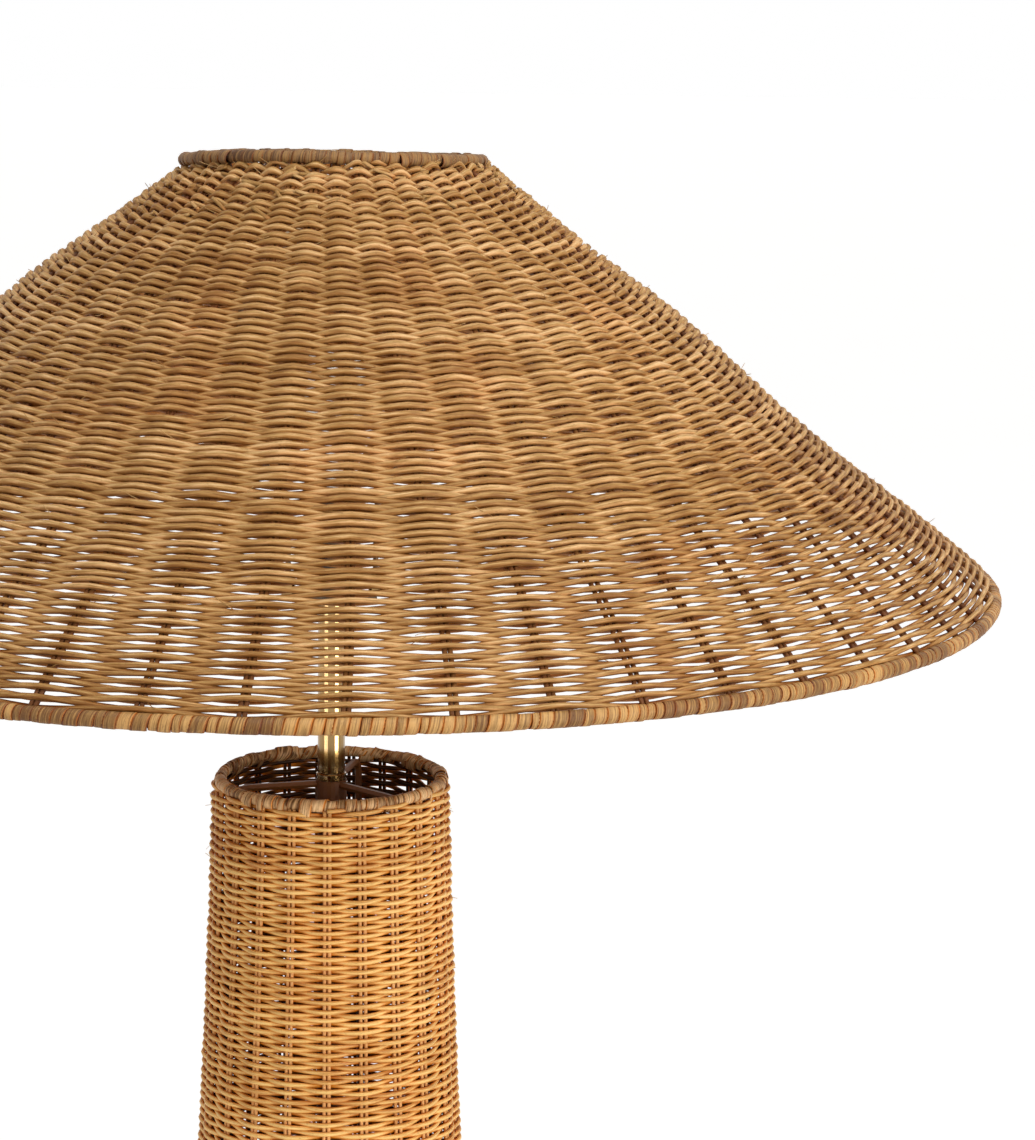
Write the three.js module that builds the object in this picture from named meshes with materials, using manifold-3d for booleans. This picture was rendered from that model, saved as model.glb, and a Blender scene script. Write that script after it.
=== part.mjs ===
// A rattan floor lamp: a flared woven column on an iron base, a brass neck, and a wide conical
// woven shade that hangs from a harp over one lampholder. Millimetres, +Z up, origin on the floor
// under the column's axis, -Y towards the front.
import * as THREE from 'three';
import { mergeVertices } from 'three/addons/utils/BufferGeometryUtils.js';
import Module from 'manifold-3d';

const wasm = await Module();
wasm.setup();

// Shared clearances and drawing limits
const seatGap = 0.3; // between two faces that rest on each other
const slipGap = 0.3; // round a tube or pin inside its hole
const overrun = 2; // how far a cutting solid runs past what it cuts
const roundSides = 24; // sides of a turned part
const smallSides = 12; // sides of a small turned part
const wireSides = 6; // sides of a bent wire
const rimSides = 8; // sides of a wrapped rim's section

// Rattan core that is woven over pairs of stakes
const stakeDiameter = 2.4;
const weaverDiameter = 2.5;

// Cast base
const feltThickness = 3;
const feltInset = 5; // from the plate's edge
const feltInnerRadius = 30;
const plateThickness = 16;
const plateEdgeRound = 4;
const plateInset = 6; // room between the plate's edge and the column's bottom rim
const bossRadius = 24;
const bossHeight = 8;
const bossFoot = 10; // how far the boss spreads where it meets the plate
const recessRadius = 22; // room for the nut, from below
const recessDepth = 10;
const baseNutFlats = 17; // across flats
const baseNutHeight = 4;
const washerRadius = 12;
const washerThickness = 1;

// Cord gland at the back of the plate
const glandRadius = 4.6;
const glandBoreRadius = 3.4;
const glandLength = 18;
const glandFlangeRadius = 6;
const glandFlangeThickness = 2;

// Threaded rod that clamps the stack, and the tubes round it
const rodRadius = 5;
const rodBoreRadius = 3.2;
const rodBelowNut = 0.8;
const rodInCap = 5; // how far the rod stands into the lampholder's cap
const tubeRadius = 8;
const tubeBoreRadius = 6.6;
const neckLength = 102; // brass tube that shows between column and shade
const collarRadius = 8.7;
const collarHeight = 4;

// Woven column
const columnRimHeight = 1158; // centre of the top rim
const columnFootHeight = 16; // centre of the bottom rim
const columnTopRadius = 66; // radius of the line of stakes
const columnFootRadius = 140;
const columnFlarePower = 1.3; // 1 is a straight cone, more is a flare that comes lower
const columnStakePairs = 21;
const columnRimTube = 4;
const columnOpeningRows = 6;
const columnOpeningHeight = 14;
const columnOpeningPitch = 180; // from row to row
const columnOpeningFoot = 60; // from the wall's lower edge to the lowest row

// Welded column frame
const hubRadius = 9;
const hubLength = 16;
const hubDrop = 0.6; // hub's top under the centre of the top rim
const armDrop = 3; // centre of an arm under the centre of the top rim
const frameWireRadius = 2.2;
const frameArms = 3;
const frameFirstArm = 74; // degrees from +X
const armBend = 10;
const frameRodSteps = 8;
const footRingWidth = 24;
const footRingThickness = 3;
const screwShankRadius = 2.5;
const screwHeadRadius = 5;
const screwHeadHeight = 2.8;
const screwLength = 14;
const screwInset = 12; // from the foot ring's edge

// Woven shade
const shadeTopRadius = 82; // radius of the line of stakes at the top rim's centre
const shadeRimRadius = 375;
const shadeHeight = 237; // between the centres of the two rims
const shadeStakePairs = 49;
const shadeRimTube = 4;
const shadeOpeningRows = 4;
const shadeOpeningHeight = 12;
const shadeOpeningPitch = 46; // from row to row down the slope
const shadeOpeningFoot = 20; // from the wall's lower edge to the lowest row

// Lampholder
const capRadius = 16.4;
const capHeight = 15;
const capWaist = 11.5; // radius where the cap narrows towards the saddle
const sheetWall = 1; // wall of the cap and of the shell
const shellHeight = 44;
const shellLip = 1.6; // how far the shell's mouth flares
const shellLipHeight = 5;
const linerWall = 0.7;
const linerShort = 2; // how far the liner ends below the shell's mouth
const coreHeight = 20;
const coreInCap = 3; // how far the core reaches down into the cap
const screwShellWall = 0.6;
const screwShellHeight = 22;
const contactRadius = 4;
const contactHeight = 1.2;

// Turn switch on the lampholder's front
const stemRadius = 2;
const stemInCore = 6;
const stemOut = 7; // stem that shows between shell and knob
const knobRadius = 7;
const knobLength = 14;
const knobLobes = 10;
const knobLobeDepth = 0.7;
const knobWall = 3; // end of the knob beyond the stem's bore

// Bulb
const bulbCapRadius = 13;
const bulbCapHeight = 22;
const bulbCapEdge = 2; // bevel at the cap's lower edge
const bulbTipRadius = 5;
const bulbTipHeight = 2;
const bulbRadius = 30;
const bulbHeight = 82; // glass alone
const bulbThroatShare = 0.78; // lower end of the neck's curve, as a share of the bulb's radius under its centre
const bulbShoulderShare = 0.72; // radius there

// Harp and its saddle
const saddleThickness = 1.6;
const saddleWidth = 12;
const saddleReach = 25; // from the axis to the middle of an upturned tab
const saddleTabWidth = 4;
const saddleTabHeight = 12;
const harpWireRadius = 1.8;
const harpHeight = 203; // from the saddle to the top of the wire
const harpReach = 54; // widest half width
const harpStraight = 34; // upright wire over each tab, where the ferrule slides
const harpTopFlat = 9; // half length of the flat at the top
const harpSteps = 32;
const ferruleRadius = 4.4;
const ferruleLength = 13;
const studPlateRadius = 7;
const studPlateThickness = 2;
const studRadius = 3;
const studLength = 14;

// Shade's spider and the finial
const spiderHubRadius = 13;
const spiderHubThickness = 4.4;
const spiderDrop = 41.6; // hub's middle under the centre of the top rim
const spiderWireRadius = 2;
const spiderArms = 3;
const spiderFirstArm = 90; // degrees from +X
const spiderArmSteps = 8;
const finialRadius = 7.5;
const finialHeight = 21;
const finialFootHeight = 2;
const finialNeckHeight = 5;
const finialNeckRadius = 4.6;
const finialBoreDepth = 12;

const stakeRadius = stakeDiameter / 2;
const wallHalf = stakeRadius + weaverDiameter; // from the line of stakes to the outside of the weave
const plateRadius = columnFootRadius - columnRimTube - plateInset;

// Colours, roughness and metalness of the finishes
const finishes = {
  rattan: { color: 0xb88446, roughness: 0.6, metalness: 0 },
  honey: { color: 0xc99349, roughness: 0.5, metalness: 0 },
  cane: { color: 0xa9814f, roughness: 0.6, metalness: 0 },
  brass: { color: 0xb08d50, roughness: 0.3, metalness: 1 },
  brownSteel: { color: 0x4a3322, roughness: 0.5, metalness: 0.6 },
  steel: { color: 0x8d8d8a, roughness: 0.4, metalness: 1 },
  iron: { color: 0x2a2624, roughness: 0.7, metalness: 0.7 },
  felt: { color: 0x2c2a28, roughness: 1, metalness: 0 },
  rubber: { color: 0x1d1c1b, roughness: 0.8, metalness: 0 },
  card: { color: 0xcfc6b4, roughness: 0.9, metalness: 0 },
  phenolic: { color: 0x17130f, roughness: 0.4, metalness: 0 },
  glass: { color: 0xf3efe6, roughness: 0.3, metalness: 0 },
};

const lamp = new THREE.Group();
const degrees = Math.PI / 180;

// Six times the volume that a closed triangle mesh holds, negative where its faces point inwards.
function signedVolume(geometry) {
  const position = geometry.attributes.position;
  const index = geometry.index.array;
  const [a, b, c] = [new THREE.Vector3(), new THREE.Vector3(), new THREE.Vector3()];
  let sum = 0;
  for (let i = 0; i < index.length; i += 3) {
    a.fromBufferAttribute(position, index[i]);
    b.fromBufferAttribute(position, index[i + 1]);
    c.fromBufferAttribute(position, index[i + 2]);
    sum += a.dot(b.cross(c));
  }
  return sum;
}

// Position only, shared vertices merged, faces pointing out.
function closed(geometry) {
  geometry.deleteAttribute('normal');
  geometry.deleteAttribute('uv');
  const merged = mergeVertices(geometry);
  const kept = [];
  const index = merged.index.array;
  for (let i = 0; i < index.length; i += 3) {
    const [a, b, c] = [index[i], index[i + 1], index[i + 2]];
    if (a !== b && b !== c && c !== a) kept.push(a, b, c);
  }
  if (signedVolume(merged) < 0) kept.reverse();
  merged.setIndex(kept);
  return merged;
}

function toManifold(geometry) {
  const clean = closed(geometry);
  return new wasm.Manifold(new wasm.Mesh({
    numProp: 3,
    vertProperties: new Float32Array(clean.attributes.position.array),
    triVerts: new Uint32Array(clean.index.array),
  }));
}

function fromManifold(solid) {
  const mesh = solid.getMesh();
  const geometry = new THREE.BufferGeometry();
  geometry.setAttribute('position', new THREE.BufferAttribute(new Float32Array(mesh.vertProperties), 3));
  geometry.setIndex(new THREE.BufferAttribute(new Uint32Array(mesh.triVerts), 1));
  return geometry;
}

function fused(...geometries) {
  return fromManifold(geometries.map(toManifold).reduce((whole, next) => whole.add(next)));
}

function cut(geometry, ...tools) {
  return fromManifold(tools.map(toManifold).reduce((whole, tool) => whole.subtract(tool), toManifold(geometry)));
}

function add(name, geometry, finish) {
  const ready = closed(geometry);
  ready.computeVertexNormals();
  const mesh = new THREE.Mesh(ready, new THREE.MeshStandardMaterial(finishes[finish]));
  mesh.name = name;
  lamp.add(mesh);
  return mesh;
}

// A turned solid from [radius, height] pairs. The outline closes on itself, or starts and ends on the axis.
function turned(outline, sides = roundSides) {
  const points = outline.map(([radius, height]) => new THREE.Vector2(radius, height));
  const onAxis = outline[0][0] === 0 && outline[outline.length - 1][0] === 0;
  if (!onAxis) points.push(points[0].clone());
  return new THREE.LatheGeometry(points, sides).rotateX(Math.PI / 2);
}

function tube(outer, inner, low, high, sides = roundSides) {
  return turned([[inner, low], [outer, low], [outer, high], [inner, high]], sides);
}

function rod(radius, low, high, sides = roundSides) {
  return turned([[0, low], [radius, low], [radius, high], [0, high]], sides);
}

// A round wire swept along a curve, closed at both ends.
function wire(curve, radius, steps, sides = wireSides) {
  const section = new THREE.Shape();
  for (let i = 0; i < sides; i += 1) {
    const turn = (i / sides) * 2 * Math.PI;
    const [x, y] = [radius * Math.cos(turn), radius * Math.sin(turn)];
    if (i === 0) section.moveTo(x, y);
    else section.lineTo(x, y);
  }
  section.closePath();
  return new THREE.ExtrudeGeometry(section, { steps, extrudePath: curve, bevelEnabled: false });
}

// Points on an arc about a centre, as [radius, height] pairs.
function arc(centre, radius, from, to, steps) {
  return Array.from({ length: steps + 1 }, (_, i) => {
    const turn = (from + ((to - from) * i) / steps) * degrees;
    return [centre[0] + radius * Math.cos(turn), centre[1] + radius * Math.sin(turn)];
  });
}

// Radius of the column's line of stakes at a height: a power curve that flares towards the foot.
function columnRadius(height) {
  const share = (columnRimHeight - height) / (columnRimHeight - columnFootHeight);
  return columnTopRadius + (columnFootRadius - columnTopRadius) * Math.max(share, 0) ** columnFlarePower;
}

// Clear radius inside the column's flat sides at a height, for a wall or rim of a half thickness.
function columnInside(height, half) {
  return (columnRadius(height) - half) * Math.cos(Math.PI / columnStakePairs);
}

// Distances down a wall of its upper edge, of both edges of each row of openings, and of its lower edge.
function wallEdges(length, rows, height, pitch, foot) {
  const edges = [0];
  for (let row = rows - 1; row >= 0; row -= 1) {
    const low = length - foot - row * pitch;
    edges.push(low - height, low);
  }
  return [...edges, length];
}

// A woven wall as a lattice, with a flat side from each pair of stakes to the next. Each line gives the stakes'
// place as (radius, height) and the outward direction there, from the top down. Every second band between
// two lines is a row of openings, at every second side, and the next row is set off by a side.
function wovenWall(lines, pairs) {
  const corners = [];
  for (let side = 0; side < pairs; side += 1) {
    const turn = ((side + 0.5) / pairs) * 2 * Math.PI + Math.PI / 2;
    lines.forEach(({ at, out }) => [wallHalf, -wallHalf].forEach((half) => {
      const { x, y } = at.clone().addScaledVector(out, half);
      corners.push(new THREE.Vector3(x * Math.cos(turn), x * Math.sin(turn), y));
    }));
  }
  const bands = lines.length - 1;
  const isSolid = (side, band) => {
    if (band < 0 || band === bands) return false;
    const row = (band - 1) / 2;
    return band % 2 === 0 || side === pairs - 1 || side % 2 !== row % 2;
  };
  const index = [];
  const quad = (a, b, c, d) => index.push(a, b, c, a, c, d);
  for (let side = 0; side < pairs; side += 1) {
    const next = (side + 1) % pairs;
    for (let band = 0; band < bands; band += 1) {
      if (!isSolid(side, band)) continue;
      const [outer, inner] = [0, 1].map((face) => (
        [[side, band], [side, band + 1], [next, band + 1], [next, band]]
          .map(([pair, line]) => (pair * lines.length + line) * 2 + face)
      ));
      quad(...outer);
      quad(...[...inner].reverse());
      const beside = [[(side + pairs - 1) % pairs, band], [side, band + 1], [next, band], [side, band - 1]];
      beside.forEach((neighbour, edge) => {
        const end = (edge + 1) % beside.length;
        if (!isSolid(...neighbour)) quad(outer[end], outer[edge], inner[edge], inner[end]);
      });
    }
  }
  const geometry = new THREE.BufferGeometry().setFromPoints(corners);
  geometry.setIndex(index);
  return geometry;
}

// Heights of the stack, from the floor up
const plateLow = feltThickness + seatGap;
const plateHigh = plateLow + plateThickness;
const bossHigh = plateHigh + bossHeight;
const recessHigh = plateLow + recessDepth;
const washerLow = recessHigh - seatGap - washerThickness;
const nutHigh = washerLow - seatGap;
const nutLow = nutHigh - baseNutHeight;
const rodLow = nutLow - rodBelowNut;
const footRingLow = plateHigh + seatGap;
const footRingHigh = footRingLow + footRingThickness;
const hubHigh = columnRimHeight - hubDrop;
const hubLow = hubHigh - hubLength;
const armHeight = columnRimHeight - armDrop;
const collarLow = hubHigh + seatGap;
const neckLow = collarLow + collarHeight + seatGap;
const neckHigh = neckLow + neckLength;
const saddleLow = neckHigh + seatGap;
const saddleHigh = saddleLow + saddleThickness;
const capLow = saddleHigh + seatGap;
const capHigh = capLow + capHeight;
const rodHigh = capLow + rodInCap;
const shellLow = capHigh + seatGap;
const shellHigh = shellLow + shellHeight;
const harpHigh = saddleHigh + harpHeight;
const studPlateLow = harpHigh + seatGap;
const studPlateHigh = studPlateLow + studPlateThickness;
const spiderHubLow = studPlateHigh + seatGap;
const spiderHubHigh = spiderHubLow + spiderHubThickness;
const shadeTopHeight = (spiderHubLow + spiderHubHigh) / 2 + spiderDrop;
const shadeRimHeight = shadeTopHeight - shadeHeight;

// Base: felt, iron plate, and the nut that holds the rod

function baseFelt() {
  add('base_felt', tube(plateRadius - feltInset, feltInnerRadius, 0, feltThickness), 'felt');
}

function basePlate() {
  const edge = arc([plateRadius - plateEdgeRound, plateHigh - plateEdgeRound], plateEdgeRound, 0, 90, 2);
  const bossCurve = arc([bossRadius + bossFoot, bossHigh], bossFoot, 232, 180, 3)
    .filter(([, height]) => height > plateHigh);
  const disc = turned([
    [rodRadius + slipGap, recessHigh],
    [recessRadius, recessHigh],
    [recessRadius, plateLow],
    [plateRadius, plateLow],
    ...edge,
    [bossRadius + bossFoot / 2, plateHigh],
    ...bossCurve,
    [bossRadius, bossHigh],
    [rodRadius + slipGap, bossHigh],
  ], 2 * roundSides);
  const channelHeight = 2 * (glandRadius + slipGap);
  const channelStart = washerRadius + slipGap;
  const channelLength = plateRadius + overrun - channelStart;
  const channel = new THREE.BoxGeometry(channelHeight, channelLength, channelHeight + overrun);
  channel.translate(0, channelStart + channelLength / 2, plateLow + (channelHeight - overrun) / 2);
  const holes = screwPlaces().map(([x, y]) => {
    const hole = rod(screwShankRadius + slipGap, plateHigh - screwLength, plateHigh + overrun, smallSides);
    return hole.translate(x, y, 0);
  });
  add('base_plate', cut(disc, channel, ...holes), 'iron');
}

function baseFasteners() {
  const washer = tube(washerRadius, rodRadius + slipGap, washerLow, washerLow + washerThickness, smallSides);
  add('base_washer', washer, 'steel');
  const nut = rod(baseNutFlats / 2 / Math.cos(30 * degrees), nutLow, nutHigh, 6);
  add('base_nut', cut(nut, rod(rodRadius + slipGap, nutLow - overrun, nutHigh + overrun)), 'steel');
}

// The bushing lies along +Y in the plate's channel, with its flange outside the edge.
function cordGland() {
  const outline = [
    [glandBoreRadius, 0],
    [glandRadius, 0],
    [glandRadius, glandLength],
    [glandFlangeRadius, glandLength],
    [glandFlangeRadius, glandLength + glandFlangeThickness],
    [glandBoreRadius, glandLength + glandFlangeThickness],
  ];
  const bushing = turned(outline, smallSides).rotateX(-Math.PI / 2);
  const above = plateLow + glandRadius + slipGap / 2;
  bushing.translate(0, plateRadius + seatGap - glandLength, above);
  add('cord_gland', bushing, 'rubber');
}

// Rod and tubes on the axis

function centreRod() {
  add('threaded_rod', tube(rodRadius, rodBoreRadius, rodLow, rodHigh, smallSides), 'steel');
  const lowerTube = tube(tubeRadius, tubeBoreRadius, bossHigh + seatGap, hubLow - seatGap, smallSides);
  add('lower_tube', lowerTube, 'brownSteel');
  add('neck_collar', turned([
    [rodRadius + slipGap, collarLow],
    [collarRadius, collarLow],
    [collarRadius, collarLow + collarHeight - collarRadius + tubeRadius],
    [tubeRadius, collarLow + collarHeight],
    [rodRadius + slipGap, collarLow + collarHeight],
  ]), 'brass');
  add('neck_tube', tube(tubeRadius, tubeBoreRadius, neckLow, neckHigh), 'brass');
}

// Column: welded frame, woven wall, two wrapped rims

function screwPlaces() {
  const radius = footRingRadius() - screwInset;
  return Array.from({ length: frameArms }, (_, i) => {
    const turn = (frameFirstArm + (360 / frameArms) * (i + 0.5)) * degrees;
    return [radius * Math.cos(turn), radius * Math.sin(turn)];
  });
}

function footRingRadius() {
  return columnInside(footRingHigh, wallHalf) - slipGap;
}

// Line of one frame wire: out from the hub, round a bend, then down inside the weave to the foot ring.
function frameLine(turn) {
  const widest = Math.max(wallHalf, columnRimTube);
  const reach = (height) => columnInside(height, widest) - frameWireRadius - slipGap;
  const at = (radius, height) => new THREE.Vector3(radius * Math.cos(turn), radius * Math.sin(turn), height);
  const corner = reach(armHeight);
  const line = new THREE.CurvePath();
  const bendStart = at(corner - armBend, armHeight);
  const bendEnd = at(reach(armHeight - armBend), armHeight - armBend);
  line.add(new THREE.LineCurve3(at((rodRadius + hubRadius) / 2, armHeight), bendStart));
  line.add(new THREE.QuadraticBezierCurve3(bendStart, at(corner, armHeight), bendEnd));
  const down = [];
  for (let i = 0; i <= frameRodSteps; i += 1) {
    const height = armHeight - armBend - ((armHeight - armBend - footRingLow - seatGap) * i) / frameRodSteps;
    down.push(at(reach(height), height));
  }
  line.add(new THREE.CatmullRomCurve3(down));
  return line;
}

// A tube joined from the pieces of a curve path, so that each piece gets its own number of steps.
function framedWire(line, stepsOfPiece) {
  const rings = [];
  line.curves.forEach((curve, piece) => {
    const steps = stepsOfPiece[piece];
    for (let i = piece === 0 ? 0 : 1; i <= steps; i += 1) {
      rings.push({ at: curve.getPoint(i / steps), along: curve.getTangent(i / steps) });
    }
  });
  const side = new THREE.Vector3().crossVectors(rings[0].along, rings[rings.length - 1].along).normalize();
  const corners = [];
  for (const { at, along } of rings) {
    const up = new THREE.Vector3().crossVectors(along, side).normalize();
    for (let k = 0; k < wireSides; k += 1) {
      const turn = (k / wireSides) * 2 * Math.PI;
      corners.push(at.clone()
        .addScaledVector(side, frameWireRadius * Math.cos(turn))
        .addScaledVector(up, frameWireRadius * Math.sin(turn)));
    }
  }
  const last = rings.length - 1;
  const index = [];
  for (let i = 0; i < last; i += 1) {
    for (let k = 0; k < wireSides; k += 1) {
      const next = (k + 1) % wireSides;
      const [a, b] = [i * wireSides + k, i * wireSides + next];
      index.push(a, b, b + wireSides, a, b + wireSides, a + wireSides);
    }
  }
  for (let k = 1; k < wireSides - 1; k += 1) {
    index.push(0, k + 1, k, last * wireSides, last * wireSides + k, last * wireSides + k + 1);
  }
  const geometry = new THREE.BufferGeometry().setFromPoints(corners);
  geometry.setIndex(index);
  return geometry;
}

function columnFrame() {
  const hub = rod(hubRadius, hubLow, hubHigh);
  const ring = tube(footRingRadius(), footRingRadius() - footRingWidth, footRingLow, footRingHigh, 2 * roundSides);
  const wires = Array.from({ length: frameArms }, (_, i) => {
    const turn = (frameFirstArm + (360 / frameArms) * i) * degrees;
    return framedWire(frameLine(turn), [1, 4, frameRodSteps]);
  });
  const holes = screwPlaces().map(([x, y]) => {
    const hole = rod(screwShankRadius + slipGap, footRingLow - overrun, footRingHigh + overrun, smallSides);
    return hole.translate(x, y, 0);
  });
  const bore = rod(rodRadius + slipGap, hubLow - overrun, hubHigh + overrun);
  add('column_frame', cut(fused(hub, ring, ...wires), bore, ...holes), 'brownSteel');
  screwPlaces().forEach(([x, y], i) => {
    const seat = footRingHigh + seatGap;
    const screw = turned([
      [0, plateHigh - screwLength + seatGap],
      [screwShankRadius, plateHigh - screwLength + seatGap],
      [screwShankRadius, seat],
      [screwHeadRadius, seat],
      [screwHeadRadius, seat + screwHeadHeight / 2],
      [screwHeadRadius - screwHeadHeight / 2, seat + screwHeadHeight],
      [0, seat + screwHeadHeight],
    ], smallSides);
    add(`foot_screw_${i + 1}`, screw.translate(x, y, 0), 'steel');
  });
}

function columnWeave() {
  const high = columnRimHeight - columnRimTube - seatGap;
  const low = columnFootHeight + columnRimTube + seatGap;
  const edges = wallEdges(
    high - low,
    columnOpeningRows,
    columnOpeningHeight,
    columnOpeningPitch,
    columnOpeningFoot,
  );
  const lines = edges.map((distance) => {
    const height = high - distance;
    return { at: new THREE.Vector2(columnRadius(height), height), out: new THREE.Vector2(1, 0) };
  });
  add('column_weave', wovenWall(lines, columnStakePairs), 'honey');
}

// A round rim in line with the corners of the wall that it borders.
function rim(name, radius, height, tubeSize, sides) {
  const ring = new THREE.TorusGeometry(radius, tubeSize, rimSides, sides);
  add(name, ring.rotateZ(-Math.PI / 2).translate(0, 0, height), 'cane');
}

// Lampholder, switch and bulb

function lampholder() {
  const capShoulder = capLow + capHeight / 2;
  add('socket_cap', turned([
    [rodRadius + slipGap, capLow],
    [capWaist, capLow],
    [capRadius, capShoulder],
    [capRadius, capHigh],
    [capRadius - sheetWall, capHigh],
    [capRadius - sheetWall, capShoulder + sheetWall / 2],
    [capWaist - sheetWall / 2, capLow + sheetWall],
    [rodRadius + slipGap, capLow + sheetWall],
  ]), 'brass');
  const shellInner = capRadius - sheetWall;
  const linerOuter = shellInner - slipGap;
  const linerInner = linerOuter - linerWall;
  const coreRadius = linerInner - slipGap;
  const coreLow = shellLow - coreInCap;
  const coreHigh = coreLow + coreHeight;
  const stemHeight = coreLow + coreHeight / 2;
  const stemHole = () => {
    const hole = rod(stemRadius + slipGap, 0, capRadius + overrun, smallSides);
    return hole.rotateX(Math.PI / 2).translate(0, 0, stemHeight);
  };
  const shell = turned([
    [shellInner, shellLow],
    [capRadius, shellLow],
    [capRadius, shellHigh - shellLipHeight],
    [capRadius + shellLip, shellHigh - shellLipHeight / 2],
    [capRadius + shellLip, shellHigh],
    [shellInner + shellLip, shellHigh],
    [shellInner, shellHigh - shellLipHeight],
  ]);
  add('socket_shell', cut(shell, stemHole()), 'brass');
  const liner = tube(linerOuter, linerInner, shellLow + seatGap, shellHigh - linerShort);
  add('socket_liner', cut(liner, stemHole()), 'card');
  const core = rod(coreRadius, coreLow, coreHigh);
  const bore = rod(stemRadius + slipGap, coreRadius - stemInCore, capRadius + overrun, smallSides);
  bore.rotateX(Math.PI / 2).translate(0, 0, stemHeight);
  add('socket_core', cut(core, bore), 'phenolic');
  const shellOuter = bulbCapRadius + slipGap + screwShellWall;
  const screwLow = coreHigh + seatGap;
  add('screw_shell', tube(shellOuter, bulbCapRadius + slipGap, screwLow, screwLow + screwShellHeight), 'brass');
  add('centre_contact', rod(contactRadius, screwLow, screwLow + contactHeight, smallSides), 'brass');
  turnSwitch(stemHeight, coreRadius);
  bulb(screwLow + contactHeight + seatGap);
}

// Stem and ribbed knob, modelled upright and then laid towards -Y.
function turnSwitch(height, coreRadius) {
  const stemStart = coreRadius - stemInCore + seatGap;
  const knobStart = capRadius + stemOut;
  const stemEnd = knobStart + knobLength - knobWall;
  const lay = (geometry) => geometry.rotateX(Math.PI / 2).translate(0, 0, height);
  add('switch_stem', lay(rod(stemRadius, stemStart, stemEnd, smallSides)), 'brass');
  const outline = new THREE.Shape();
  const corners = 4 * knobLobes;
  for (let i = 0; i < corners; i += 1) {
    const turn = (i / corners) * 2 * Math.PI;
    const radius = knobRadius - (knobLobeDepth * (1 - Math.cos(knobLobes * turn))) / 2;
    const point = [radius * Math.cos(turn), radius * Math.sin(turn)];
    if (i === 0) outline.moveTo(...point);
    else outline.lineTo(...point);
  }
  outline.closePath();
  const body = new THREE.ExtrudeGeometry(outline, { depth: knobLength, bevelEnabled: false });
  body.translate(0, 0, knobStart);
  const bore = rod(stemRadius + slipGap, knobStart - overrun, stemEnd + seatGap, smallSides);
  add('switch_knob', lay(cut(body, bore)), 'phenolic');
}

function bulb(tipLow) {
  const capStart = tipLow + bulbTipHeight;
  const capEnd = capStart + bulbCapHeight;
  add('bulb_cap', turned([
    [0, tipLow],
    [bulbTipRadius, tipLow],
    [bulbCapRadius - bulbCapEdge, capStart],
    [bulbCapRadius, capStart + bulbCapEdge],
    [bulbCapRadius, capEnd],
    [0, capEnd],
  ]), 'brass');
  const glassLow = capEnd + seatGap;
  const centre = glassLow + bulbHeight - bulbRadius;
  const globe = arc([0, centre], bulbRadius, -28, 90, 9);
  const neck = new THREE.CubicBezierCurve(
    new THREE.Vector2(bulbCapRadius, glassLow),
    new THREE.Vector2(bulbCapRadius, (glassLow + centre) / 2 - bulbTipHeight),
    new THREE.Vector2(bulbRadius * bulbShoulderShare, centre - bulbRadius * bulbThroatShare),
    new THREE.Vector2(...globe[0]),
  ).getPoints(5).slice(0, -1).map((point) => [point.x, point.y]);
  globe[globe.length - 1][0] = 0;
  add('bulb_glass', turned([[0, glassLow], ...neck, ...globe]), 'glass');
}

// Harp: saddle, bent wire, two ferrules and the stud

function saddle() {
  const strip = new THREE.BoxGeometry(2 * saddleReach + saddleThickness, saddleWidth, saddleThickness);
  strip.translate(0, 0, saddleLow + saddleThickness / 2);
  const tabs = [-1, 1].map((side) => {
    const tall = saddleThickness + saddleTabHeight;
    const tab = new THREE.BoxGeometry(saddleThickness, saddleTabWidth, tall);
    return tab.translate(side * saddleReach, 0, saddleLow + tall / 2);
  });
  const hole = rod(rodRadius + slipGap, saddleLow - overrun, saddleHigh + overrun);
  add('harp_saddle', cut(fused(strip, ...tabs), hole), 'brass');
}

function harp() {
  const low = saddleHigh + saddleTabHeight + seatGap;
  const straightEnd = low + harpStraight;
  const top = harpHigh - harpWireRadius;
  const wide = (straightEnd + top) / 2 + harpStraight / 2;
  const at = (x, z) => new THREE.Vector3(x, 0, z);
  const side = [
    new THREE.LineCurve3(at(saddleReach, low), at(saddleReach, straightEnd)),
    new THREE.CubicBezierCurve3(
      at(saddleReach, straightEnd),
      at(saddleReach, straightEnd + harpStraight),
      at(harpReach, straightEnd + harpStraight / 2),
      at(harpReach, wide),
    ),
    new THREE.CubicBezierCurve3(
      at(harpReach, wide),
      at(harpReach, top - harpStraight / 2),
      at((harpReach + harpTopFlat) / 2, top),
      at(harpTopFlat, top),
    ),
  ];
  const right = side.flatMap((curve, i) => curve.getPoints(harpSteps / 4).slice(i === 0 ? 0 : 1));
  const left = right.map(({ x, z }) => at(-x, z)).reverse();
  const route = new THREE.CatmullRomCurve3([...right, ...left]);
  add('harp', wire(route, harpWireRadius, harpSteps), 'brass');
  [['left', -1], ['right', 1]].forEach(([name, sign]) => {
    const ferruleLow = saddleHigh + seatGap;
    const bore = Math.hypot(saddleTabWidth, saddleThickness) / 2 + slipGap;
    const ferrule = tube(ferruleRadius, bore, ferruleLow, ferruleLow + ferruleLength, smallSides);
    add(`harp_ferrule_${name}`, ferrule.translate(sign * saddleReach, 0, 0), 'brass');
  });
  add('harp_stud', turned([
    [0, studPlateLow],
    [studPlateRadius, studPlateLow],
    [studPlateRadius, studPlateHigh],
    [studRadius, studPlateHigh],
    [studRadius, studPlateHigh + studLength],
    [0, studPlateHigh + studLength],
  ], smallSides), 'brass');
}

// Shade: spider, woven cone, two wrapped rims, and the finial over it

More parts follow.
